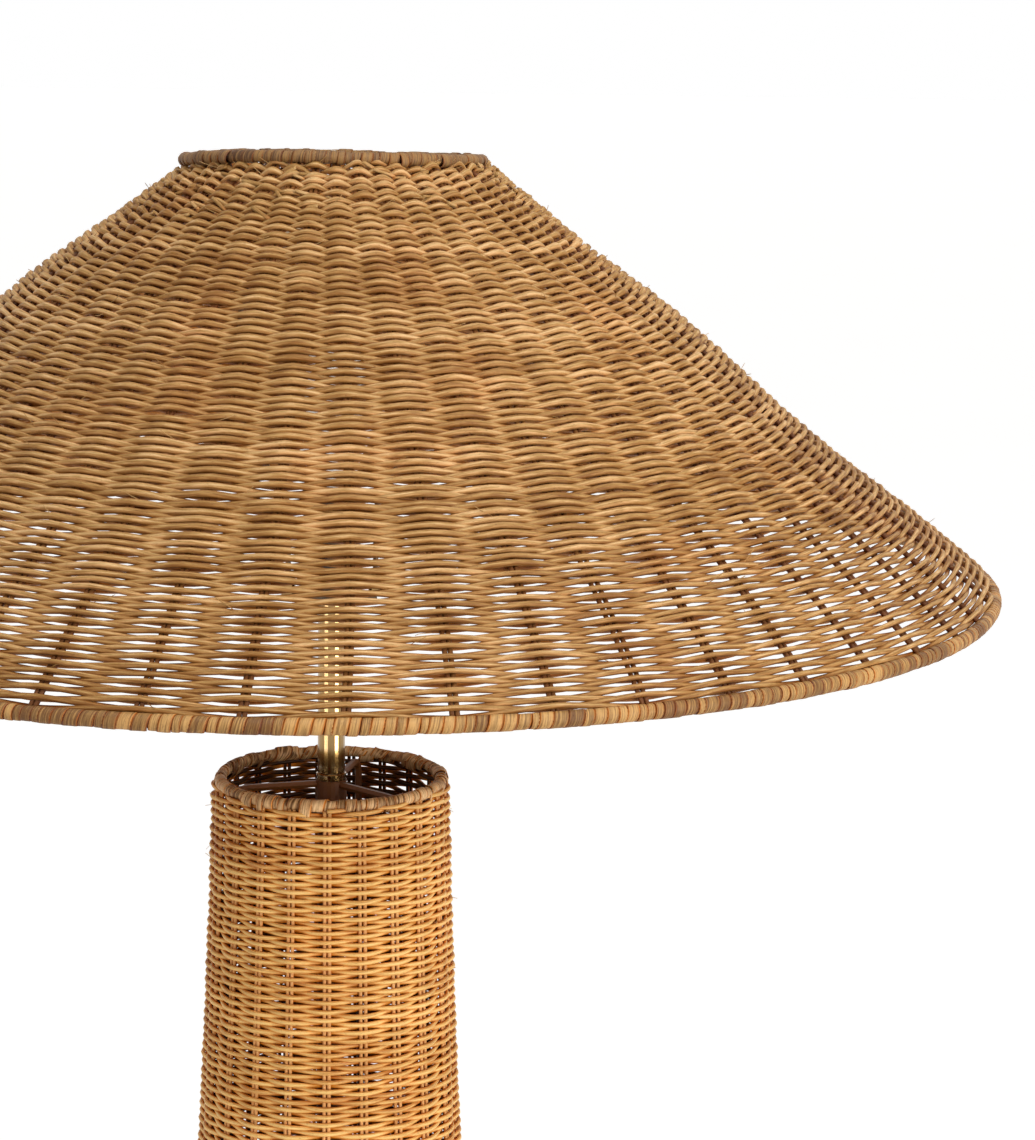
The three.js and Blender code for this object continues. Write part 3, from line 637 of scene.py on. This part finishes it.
def painted_hollow_shade(depth, round_it, sizes):
    """Painted shade of a point of a strand, from how deep it lies in the wall's hollows: 1 beside the
    stakes, 0 on the outer face, a share of its own on the inner one, and at least a part on the strand's
    upper and lower sides.
    An inner shade over 1 is added to the side that faces inwards, as near-black painted shade."""
    places = [-2 * sizes.strand - sizes.stake, -sizes.stake, OUTER_FACE * sizes.strand]
    depths = np.interp(depth, places, [min(1.0, sizes.inner), 1.0, 0.0])
    facing = np.clip(FACING_LEVEL + FACING_SLOPE * np.cos(round_it), 0, 1) * (depth < sizes.strand)
    return np.maximum(depths, EDGE_SHADE * np.abs(np.sin(round_it))) + max(0.0, sizes.inner - 1) * facing


def girths(sizes, share_down, raised):
    """Shares of a strand's thickness and width down the wall: it thins towards the lower rim and thickens
    as a bell in the tight band, and it widens by the square of its lift in the upper rows."""
    thin = 1 - sizes.thinning * np.clip((share_down - THIN_START) / THIN_REACH, 0, 1)
    thin += sizes.tight * np.exp(-(((share_down - TIGHT_PLACE) / TIGHT_REACH) ** 2))
    upper = np.clip((BROAD_END - share_down) / BROAD_REACH, 0, 1)
    broad = 1 + sizes.broad * upper * (raised / (sizes.strand + sizes.stake)) ** 2
    return thin, broad


def strand_pieces(name, wall, sizes, places, material, segments, stripe, randoms):
    """The weaving strand: one line that winds down the wall a row a round, outside one pair of stakes and
    inside the next. An odd number of pairs sets each row against the one above. Between two pairs its lift
    goes from one side to the other, as a straight line that is eased by a share of half a cosine."""
    first_room = wall.top[2] * FIRST_ROW
    last_room = wall.foot[2]
    woven = wall.length - first_room - last_room
    crossings = int(woven / sizes.pitch * sizes.pairs)
    ways = (-1.0) ** np.arange(crossings + 2)
    lift = ways * (sizes.strand + sizes.stake) * randoms.uniform(*LIFTS, crossings + 2)
    stray = randoms.normal(0, sizes.stray, crossings + 2)
    swell = 1 + randoms.normal(0, SWELL, crossings + 2)
    lengths = np.cumsum(randoms.uniform(*CANE_LENGTHS, CANES))
    tones = randoms.uniform(0, 1, CANES + 1)
    hefts = randoms.uniform(*CANE_GIRTHS, CANES + 1)
    pieces = []
    edges = np.linspace(0, crossings, STRAND_PARTS + 1).astype(int)
    for part, (start, end) in enumerate(zip(edges[:-1], edges[1:])):
        at = np.arange(start * segments, end * segments + 1) / segments
        whole = np.minimum(at.astype(int), crossings)
        turn = np.interp(at % sizes.pairs, np.arange(sizes.pairs + 1), places)
        distance = first_room + woven * (at / crossings) ** sizes.closing
        share_down = distance / wall.length
        spacing = wall.read(wall.radius, distance) * TURN / sizes.pairs
        stay = sizes.stake_gap * STAY / spacing
        way = np.clip((at - whole - stay) / (1 - 2 * stay), 0, 1)
        weight = STRAIGHT * (1 - way) + EASED * (1 + np.cos(math.pi * way))
        ease = np.sin(math.pi * np.clip(share_down, 0, 1)) ** 0.5
        down = distance + wandering(distance, turn, sizes.sway) * ease
        loosened = 1 + TOP_STRAY * np.exp(-distance / TOP_STRAY_REACH)
        down = down + between(stray, whole, weight) * loosened
        raised = between(lift, whole, weight)
        run = np.cumsum(spacing) / segments + part * PART_SHIFT
        cane = np.searchsorted(lengths, run % lengths[-1])
        thin, broad = girths(sizes, share_down, raised)
        girth = (sizes.strand * between(swell, whole, weight) * hefts[cane] * thin)[None]
        width = girth * broad * sizes.spread / sizes.strand
        path = wall.points(down, turn, raised)[None]
        outward = wall.outward(down, turn)[None]
        rings = carried(path, outward, girth, width, STRAND_SIDES, STRAND_FLATNESS)
        round_it = np.arange(STRAND_SIDES) * TURN / STRAND_SIDES
        depth = raised[:, None] - girth[0][:, None] * np.cos(round_it)
        # Painted shade: the rows are made darker towards the lower rim
        rim_shading = np.clip((share_down - RIM_SHADE_START) / RIM_SHADE_REACH, 0, 1)
        tone = tones[cane] - sizes.weathered * rim_shading
        # The painted shade mark darkens the strand in the wall's hollows and on its inner side
        marks = {"tone": tone[None, :, None], "bury": painted_hollow_shade(depth, round_it, sizes)[None]}
        pieces.append(tube_piece(f"{name}_{part + 1}", rings, marks, material, stripe))
    return pieces


def pair_places(sizes, randoms):
    """Directions of the pairs of stakes, each off its even place by its own drift, and the first again."""
    drift = randoms.normal(0, sizes.drift, sizes.pairs)
    even = sizes.first + np.arange(sizes.pairs) * (TURN / sizes.pairs)
    return np.append(even + drift, even[0] + drift[0] + TURN)


STAKE_SIDES = 8
STAKE_END = 0.6
STAKE_SWAY = 0.00022
STAKE_WAVES = np.arange(1, 5)
STAKE_GIRTHS = 0.94, 1.06
# Painted shade of a stake's sides, from the side that faces out to the one that faces in
STAKE_FACINGS = -0.7, 0.0, 0.7
STAKE_SHADES = 0.2, 0.8


def stake_piece(name, wall, sizes, places, material, steps, randoms):
    """The stakes: pairs of straight round rods down the wall, each swaying a little from its line by a sum
    of sine waves, and given painted shade from the outer side to the inner one, which takes the wall's
    painted inner shade."""
    pair = np.repeat(places[:-1], 2)
    hand = np.tile([-0.5, 0.5], sizes.pairs)
    distance = np.linspace(wall.top[2] * STAKE_END, wall.length - wall.foot[2] * STAKE_END, steps)
    radius = wall.read(wall.radius, distance)
    drift = randoms.normal(0, STAKE_SWAY, (pair.size, STAKE_WAVES.size))
    waves = np.sin(STAKE_WAVES[:, None] * math.pi * distance / wall.length)
    gap = sizes.stake_gap * hand[:, None] + drift @ waves
    turn = pair[:, None] + gap / radius
    where = np.broadcast_to(distance, turn.shape)
    girth = sizes.stake * np.broadcast_to(randoms.uniform(*STAKE_GIRTHS, (pair.size, 1)), turn.shape)
    path = wall.points(where, turn, 0 * turn)
    rings = carried(path, wall.outward(where, turn), girth, girth, STAKE_SIDES)
    tone = randoms.uniform(0, 1, pair.size)[:, None, None]
    inward = np.cos(np.arange(STAKE_SIDES) * TURN / STAKE_SIDES)
    bury = np.interp(inward, STAKE_FACINGS, [*STAKE_SHADES, sizes.inner])
    return tube_piece(name, rings, {"tone": tone, "bury": bury}, material, steps - 1, 2)


LOOSE_STEPS, LOOSE_SIDES = 7, 6
LOOSE_LENGTHS = 0.5, 1.5
LOOSE_GIRTHS = 0.7, 1.1
CROWDING = 1.5
SURFACING = 0.4
CLEARANCE = 1.1
TAPER = 0.15
# Painted shade at the root of a loose end, between the strands, and on its free part
ROOT_SHADE, FREE_SHADE = 0.8, 0.1


def loose_piece(name, wall, sizes, material, randoms, *, count, zone, reach, slant, thick, rise):
    """Loose ends and fibres: each leaves the wall at a place in a zone down it, more of them near its top,
    runs on at a slant to the rows and rises from between the strands by a power of its share under 1, then
    by a square as it springs off."""
    share_on = np.linspace(0, 1, LOOSE_STEPS)
    turn = randoms.uniform(0, TURN, (count, 1))
    distance = zone[0] + (zone[1] - zone[0]) * randoms.uniform(0, 1, (count, 1)) ** CROWDING
    run = share_on * randoms.uniform(*LOOSE_LENGTHS, (count, 1)) * reach
    lean = randoms.normal(0, slant, (count, 1))
    ahead = run * np.cos(lean) * randoms.choice([-1.0, 1.0], (count, 1))
    down = distance + run * np.sin(lean)
    way = turn + ahead / wall.read(wall.radius, distance)
    sprung = rise * randoms.uniform(0, 1, (count, 1)) * share_on**2
    lift = (sizes.stake + sizes.strand * CLEARANCE) * share_on**SURFACING + sprung
    girth = thick * randoms.uniform(*LOOSE_GIRTHS, (count, 1)) * (1 - TAPER * share_on)
    rings = carried(wall.points(down, way, lift), wall.outward(down, way), girth, girth, LOOSE_SIDES)
    tone = randoms.uniform(0, 1, count)[:, None, None]
    bury = np.interp(share_on, [0, SURFACING], [ROOT_SHADE, FREE_SHADE])[None, :, None]
    return tube_piece(name, rings, {"tone": tone, "bury": bury}, material, LOOSE_STEPS - 1, 8)


class Rim:
    """A wrapped rim: its ring, thinner by a share and further in by an inset, and the wall's directions"""

    def __init__(self, wall, upper, girth=1.0, inset=0.0):
        ring = wall.top if upper else wall.foot
        place = 0 if upper else -1
        self.wall = wall
        self.upper = upper
        self.ring = (ring[0] - inset, ring[1], ring[2] * girth)
        self.out = np.array([wall.out_radius[place], wall.out_height[place]])
        self.up = np.array([-self.out[1], self.out[0]])

    def path(self, turn, shift_out, shift_up):
        """Points round the ring, moved out of the wall and up its slope."""
        radius = self.ring[0] + shift_out * self.out[0] + shift_up * self.up[0]
        height = self.ring[1] + shift_out * self.out[1] + shift_up * self.up[1]
        radius, height, turn = np.broadcast_arrays(radius, height, turn)
        points = np.stack([radius * np.cos(turn), radius * np.sin(turn), height], axis=-1)
        return self.wall.leaned(points, 0.0 if self.upper else self.wall.length)


ROD_STEPS, ROD_SIDES = 240, 8


def rod_piece(name, rim, thick, material):
    """The rod inside a rim: a round section carried round the ring."""
    turn = np.linspace(0, TURN, ROD_STEPS + 1)[None]
    outward = np.stack([np.cos(turn), np.sin(turn), np.zeros_like(turn)], axis=-1)
    girth = np.full(turn.shape, thick)
    rings = carried(rim.path(turn, 0, 0), outward, girth, girth, ROD_SIDES)
    # The rod gets painted shade, as it lies under the wraps
    return tube_piece(name, rings, {"tone": 0.3, "bury": 0.9}, material, ROD_STEPS // 4)


WRAP_STEPS, WRAP_SIDES, WRAP_FLATNESS = 12, 8, 0.5
HIDDEN_PART = 0.16
SHOWN_END = 0.84
TIE_REACHES = 0.0012, 0.0026
TIE_SWELL = 0.5
CANE_WIDTHS = 1.0, 1.2
EDGE_POWER = 6


def wrap_piece(name, rim, thick, material, seed, *, width, vary, slant, lump, ties, overlap, edge):
    """The cane wrapped round a rim: one flat band whose turns go round the ring's section by an angle and
    creep along the ring, a share of the way at a slant in the open and the rest on the inside. Their widths
    vary, the ring is lumpy, and a share of the turns are ties that reach over the rows. The cane gets
    painted shade towards its edges, where the turns meet, by a power of the sine."""
    randoms = np.random.default_rng(seed)
    turns = int(TURN * rim.ring[0] / width)
    widths = 1 + vary * randoms.uniform(-1, 1, turns)
    starts = np.concatenate([[0], np.cumsum(widths)]) / widths.sum() * TURN
    at = np.arange(turns * WRAP_STEPS + 1) / WRAP_STEPS
    whole = np.minimum(at.astype(int), turns - 1)
    part = at - whole
    hidden = (np.clip(part / HIDDEN_PART, 0, 1) + np.clip((part - SHOWN_END) / HIDDEN_PART, 0, 1)) / 2
    creep = slant * part + (1 - slant) * hidden
    turn = starts[whole] + (starts[whole + 1] - starts[whole]) * creep
    angle = TURN * part - math.pi
    tied = randoms.uniform(0, 1, turns) < ties
    drop = np.where(tied, randoms.uniform(*TIE_REACHES, turns), 0.0) * (1 if rim.upper else -1)
    lumps = randoms.normal(0, lump, turns + 1)
    size = rim.ring[2] - thick / 2 + lumps[whole] * (1 - part) + lumps[whole + 1] * part
    swell = 1 + TIE_SWELL * np.sin(math.pi * part) * tied[whole]
    fall = drop[whole] * np.sin(math.pi * part)
    reach_out = size * np.cos(angle) * swell**0.4
    reach_up = size * np.sin(angle) * (1 + np.abs(fall) / rim.ring[2]) - fall
    path = rim.path(turn, reach_out, reach_up)[None]
    facing = np.cos(angle) * rim.out[:, None] + np.sin(angle) * rim.up[:, None]
    outward = np.stack([facing[0] * np.cos(turn), facing[0] * np.sin(turn), facing[1]], axis=-1)[None]
    half = (starts[whole + 1] - starts[whole]) * rim.ring[0] / 2
    wide = (half * randoms.uniform(*CANE_WIDTHS, turns)[whole] * overlap)[None]
    rings = carried(path, outward, np.full(wide.shape, thick / 2), wide, WRAP_SIDES, WRAP_FLATNESS)
    tone = randoms.uniform(0, 1, turns)[whole][None, :, None]
    # Painted shade along the edges of each turn, dark where the turns meet
    bury = edge * np.abs(np.sin(np.arange(WRAP_SIDES) * TURN / WRAP_SIDES)) ** EDGE_POWER
    columns = max(1, int(math.sqrt(turns)))
    return tube_piece(name, rings, {"tone": tone, "bury": bury}, material, WRAP_STEPS, columns)


def settle(piece, body, slot, *nodes):
    """Makes a piece move with its body and hides the solids that it stands for; its slot is not used."""
    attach(piece, body)
    if nodes:
        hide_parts(*nodes)


def weave(name, body, wall, sizes, seed, cane, stake_cane, loose, *, segments, stripe, stake_steps):
    """All pieces of a woven wall: its strands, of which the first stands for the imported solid, its stakes,
    and its loose ends and fibres."""
    randoms = np.random.default_rng(seed)
    places = pair_places(sizes, randoms)
    pieces = strand_pieces(f"{name}_strands", wall, sizes, places, cane, segments, stripe, randoms)
    pieces.append(stake_piece(f"{name}_stakes", wall, sizes, places, stake_cane, stake_steps, randoms))
    for kind, looks in loose.items():
        pieces.append(loose_piece(f"{name}_{kind}", wall, sizes, cane, randoms, **looks))
    settle(pieces[0], body, f"{name}_rattan", f"{name}_weave")
    for piece in pieces[1:]:
        settle(piece, body, f"{name}_rattan")


# Operators


class LAMP_OT_set_stage(bpy.types.Operator):
    """Places the camera, the lamps, the pale floor and the white surroundings"""

    bl_idname = "lamp.set_stage"
    bl_label = "Set Stage"

    eye_distance = 1.692
    eye_rise = 0.0797
    tilt = math.radians(10.5)
    yaw = math.radians(3.6)
    roll = math.radians(0.85)
    sensor = 36
    focal = 3000 / 1140 * sensor
    lit_point = (0, 0, 1.2)
    floor_reach = 60.0
    glow_reach = 6.0
    glows = ((1.2, 0.15), (2.4, 0.42), (4.8, 0.525))

    def execute(self, context):
        looks = context.scene.lamp_stage
        self.place_camera(context.scene)
        self.place_lamp("key_lamp", (1.95, -2.0, 1.5), (0.62, 2.4), looks.key)
        self.place_lamp("fill_lamp", (-1.9, -2.05, 1.5), (0.3, 2.4), looks.fill)
        self.place_lamp("top_lamp", (0.4, -0.9, 3.4), (2.2, 2.2), looks.top)
        self.lay_floor(looks.floor)
        self.light_sky(context.scene, looks.sky)
        context.scene.view_settings.view_transform = "Standard"
        return {"FINISHED"}

    def place_camera(self, scene):
        lens = bpy.data.cameras.new("camera")
        lens.sensor_fit = "AUTO"
        lens.sensor_width = self.sensor
        lens.lens = self.focal
        camera = placed("camera", lens)
        camera.location = (0, -self.eye_distance, SHADE_TOP[1] + self.eye_rise)
        facing = Euler((math.pi / 2 - self.tilt, 0, -self.yaw)).to_matrix()
        camera.rotation_euler = (facing @ Matrix.Rotation(self.roll, 3, "Z")).to_euler()
        scene.camera = camera

    def place_lamp(self, name, place, size, power):
        light = bpy.data.lights.new(name, "AREA")
        light.shape = "RECTANGLE"
        light.size, light.size_y = size
        light.energy = power
        lamp = placed(name, light)
        aim = Vector(self.lit_point) - Vector(place)
        lamp.location = place
        lamp.rotation_euler = aim.to_track_quat("-Z", "Y").to_euler()

    def seen_or_mirrored(self, made):
        """1 for rays from the camera, off metal or through glass, otherwise 0."""
        path = made.node("ShaderNodeLightPath", output="Is Camera Ray")
        glossy = Reading(made.tree, path.socket.node.outputs["Is Glossy Ray"])
        through = Reading(made.tree, path.socket.node.outputs["Is Transmission Ray"])
        return path.worked("MAXIMUM", path.worked("MAXIMUM", path, glossy), through)

    def lay_floor(self, colour):
        """A wide floor whose glow, seen from the camera only, rises with the distance from the lamp."""
        mesh = bpy.data.meshes.new("floor")
        reach = self.floor_reach
        corners = [(-reach, -reach, 0), (reach, -reach, 0), (reach, reach, 0), (-reach, reach, 0)]
        mesh.from_pydata(corners, [], [(0, 1, 2, 3)])
        made = Finish("pale_floor", Roughness=0.9)
        clouds = made.noise(made.place(), 1.3, 3.0)
        made.surface("Base Color", made.mixed(clouds, solid(colour), solid(colour, 0.97)))
        away = made.node("ShaderNodeVectorMath", {"operation": "LENGTH"}, {0: made.place()}, "Value")
        stops = [(place / self.glow_reach, (glow, glow, glow, 1)) for place, glow in self.glows]
        glow = made.ramp(away * (1 / self.glow_reach), *stops)
        made.surface("Emission Color", made.mixed(self.seen_or_mirrored(made), BLACK, glow))
        made.surface("Emission Strength", 1.0)
        mesh.materials.append(made.material)
        floor = placed("floor", mesh)

    def light_sky(self, scene, strength):
        """Even light from all round, in front of surroundings that the camera sees as white."""
        world = bpy.data.worlds.new("sky")
        scene.world = world
        world.use_nodes = True
        made = Nodes(world.node_tree)
        plain = (strength, strength, strength, 1.0)
        colour = made.mixed(self.seen_or_mirrored(made), plain, WHITE)
        made.join(colour, made.tree.nodes["Background"].inputs["Color"])


class LAMP_OT_weave_shade(bpy.types.Operator):
    """Weaves the cone of the shade: round strands over pairs of stakes"""

    bl_idname = "lamp.weave_shade"
    bl_label = "Weave Shade"

    seed = 11

    def execute(self, context):
        sizes = context.scene.lamp_shade
        wall = Wall(SHADE_TOP, SHADE_FOOT, sizes)
        shades, dark = (sizes.deep, sizes.body, sizes.pale), (sizes.stakes, sizes.stakes, sizes.deep)
        cane = cane_finish("shade_cane", shades, spread=0.5, streaks=2.3, polish=0.46)
        # Stake cane in a darker brown, partly painted shade of the weave's recesses
        brown = cane_finish("shade_stake_cane", dark, spread=0.3, streaks=0.6, polish=0.5)
        near, far = wall.top[2] * 1.2, wall.length - wall.foot[2] * 2
        thick = sizes.strand * 0.85
        loose = {
            "ends": dict(count=90, zone=(near, 0.05), reach=0.011, slant=0.3, thick=thick, rise=0.0012),
            "fibres": dict(count=420, zone=(near, far), reach=0.009, slant=0.3, thick=0.00022, rise=0.0045),
        }
        steps = {"segments": 7, "stripe": 112, "stake_steps": 25}
        weave("shade", "shade", wall, sizes, self.seed, cane, brown, loose, **steps)
        return {"FINISHED"}


class LAMP_OT_weave_column(bpy.types.Operator):
    """Weaves the flared column: round strands over pairs of stakes"""

    bl_idname = "lamp.weave_column"
    bl_label = "Weave Column"

    seed = 23

    def execute(self, context):
        sizes = context.scene.lamp_column
        wall = Wall(COLUMN_TOP, COLUMN_FOOT, sizes)
        shades, light = (sizes.deep, sizes.body, sizes.pale), (sizes.deep, sizes.stakes, sizes.stakes)
        cane = cane_finish("column_cane", shades, spread=0.55, streaks=1.9, polish=0.4)
        plain = cane_finish("column_stake_cane", light, spread=0.3, streaks=0.8, polish=0.42)
        near, far = wall.top[2] * 0.6, wall.length - wall.foot[2] * 2
        loose = {
            "fibres": dict(count=160, zone=(near, far), reach=0.008, slant=0.5, thick=0.0002, rise=0.004)
        }
        steps = {"segments": 6, "stripe": 126, "stake_steps": 61}
        weave("column", "stand", wall, sizes, self.seed, cane, plain, loose, **steps)
        return {"FINISHED"}


class LAMP_OT_wrap_rims(bpy.types.Operator):
    """Winds flat cane round the four rims, over a rod in each"""

    bl_idname = "lamp.wrap_rims"
    bl_label = "Wrap Rims"

    first_seed = 40
    thin = dict(width=0.0042, vary=0.5, slant=0.6, lump=0.0004, ties=0.06, overlap=1.15, edge=1.3)
    tied = dict(width=0.0052, vary=0.6, slant=0.5, lump=0.0004, ties=0.3, overlap=1.1, edge=1.5)
    neat = dict(width=0.0057, vary=0.35, slant=0.85, lump=0.0002, ties=0.0, overlap=0.96, edge=1.65)

    def execute(self, context):
        sizes = context.scene.lamp_wraps
        shade = Wall(SHADE_TOP, SHADE_FOOT, context.scene.lamp_shade)
        column = Wall(COLUMN_TOP, COLUMN_FOOT, context.scene.lamp_column)
        shades, greys = (sizes.deep, sizes.body, sizes.pale), (sizes.dusk, sizes.grey, sizes.body)
        creams, browns = (sizes.deep, sizes.worn, sizes.bright), (sizes.core, sizes.core, sizes.core)
        golden = cane_finish("golden_wrap", shades, spread=0.9, streaks=3.0, polish=0.42, across=24.0)
        grey = cane_finish("weathered_wrap", greys, spread=0.5, streaks=3.6, polish=0.5, across=26.0)
        worn = cane_finish("worn_wrap", creams, spread=0.6, streaks=3.0, polish=0.46, across=24.0)
        dark = cane_finish("rim_rod", browns, spread=0.3, streaks=0.3, polish=0.6)
        rims = (
            ("shade_top", "shade", grey, Rim(shade, True, girth=0.87, inset=-0.001), self.thin),
            ("shade_bottom", "shade", golden, Rim(shade, False), self.neat),
            ("column_top", "stand", worn, Rim(column, True, girth=0.86, inset=sizes.inset), self.tied),
            ("column_bottom", "stand", golden, Rim(column, False), self.neat),
        )
        for seed, (name, body, material, rim, winding) in enumerate(rims, self.first_seed):
            wraps = wrap_piece(f"{name}_wraps", rim, sizes.thick, material, seed, **winding)
            settle(wraps, body, "cane_wrap", f"{name}_rim")
            rod = rod_piece(f"{name}_rod", rim, rim.ring[2] - 2 * sizes.thick, dark)
            settle(rod, body, "cane_wrap")
        return {"FINISHED"}


class LAMP_OT_finish_fittings(bpy.types.Operator):
    """Gives every solid that shows its own finish: metal, paint, felt, rubber, card, moulding and glass"""

    bl_idname = "lamp.finish_fittings"
    bl_label = "Finish Fittings"

    def execute(self, context):
        looks = context.scene.lamp_fittings
        finishes = {
            "brushed_brass": brass_finish("brushed_brass_finish", looks.brass, 0.1),
            "brown_steel": painted_finish("brown_paint", looks.brown, 260.0, 0.34, 0.00003),
            "cast_base": painted_finish("cast_paint", looks.iron, 420.0, 0.5, 0.0002),
            "zinc_steel": plated_finish("zinc_plate", looks.zinc),
            "felt": soft_finish("pressed_felt", looks.felt, 900.0, 0.85, 0.0003),
            "gland_rubber": soft_finish("gland_rubber_finish", looks.rubber, 500.0, 0.6, 0.00003),
            "liner_card": soft_finish("pressed_card", looks.card, 300.0, 0.75, 0.00005),
            "dark_moulding": soft_finish("dark_moulding_finish", looks.moulding, 200.0, 0.3, 0.00001),
            "bulb_metal": plated_finish("rolled_thread", looks.zinc, 0.0036),
            "bulb_glass": frosted_finish("frosted_glass", looks.glass),
        }
        # Darker copy of the brass as painted shade for the lampholder and harp inside the lampshade
        aged = brass_finish("dark_brass_finish", looks.aged, 0.4)
        by_node = {name: aged for name in ("socket_cap", "socket_shell", "harp", "harp_saddle")}
        by_node["threaded_rod"] = plated_finish("rod_thread", looks.zinc, 0.001)
        for name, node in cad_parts.items():
            for place in node.material_slots:
                slot = place.material.name.split(".")[0]
                if slot in finishes:
                    place.material = by_node.get(name, finishes[slot])
        return {"FINISHED"}


class LAMP_PT_panel(bpy.types.Panel):
    """Sizes, colours and steps of the lamp"""

    bl_label = "Rattan Lamp"
    bl_idname = "LAMP_PT_panel"
    bl_space_type = "VIEW_3D"
    bl_region_type = "UI"
    bl_category = "Rattan Lamp"

    def draw(self, context):
        for step, group in STEPS:
            box = self.layout.box()
            settings = getattr(context.scene, group)
            for name in settings.bl_rna.properties.keys():
                if name not in {"rna_type", "name"}:
                    box.prop(settings, name)
            box.operator(step)


STEPS = (
    ("lamp.set_stage", "lamp_stage"),
    ("lamp.weave_shade", "lamp_shade"),
    ("lamp.weave_column", "lamp_column"),
    ("lamp.wrap_rims", "lamp_wraps"),
    ("lamp.finish_fittings", "lamp_fittings"),
)
GROUPS = {
    "lamp_stage": StageSettings,
    "lamp_shade": ShadeSettings,
    "lamp_column": ColumnSettings,
    "lamp_wraps": WrapSettings,
    "lamp_fittings": FittingSettings,
}
CLASSES = (
    *GROUPS.values(),
    LAMP_OT_set_stage,
    LAMP_OT_weave_shade,
    LAMP_OT_weave_column,
    LAMP_OT_wrap_rims,
    LAMP_OT_finish_fittings,
    LAMP_PT_panel,
)


def register():
    for kind in CLASSES:
        bpy.utils.register_class(kind)
    for name, kind in GROUPS.items():
        setattr(bpy.types.Scene, name, PointerProperty(type=kind))


def unregister():
    for name in GROUPS:
        delattr(bpy.types.Scene, name)
    for kind in reversed(CLASSES):
        bpy.utils.unregister_class(kind)


def main():
    register()
    for step, _ in STEPS:
        area, name = step.split(".")
        getattr(getattr(bpy.ops, area), name)()


if __name__ == "__main__":
    main()
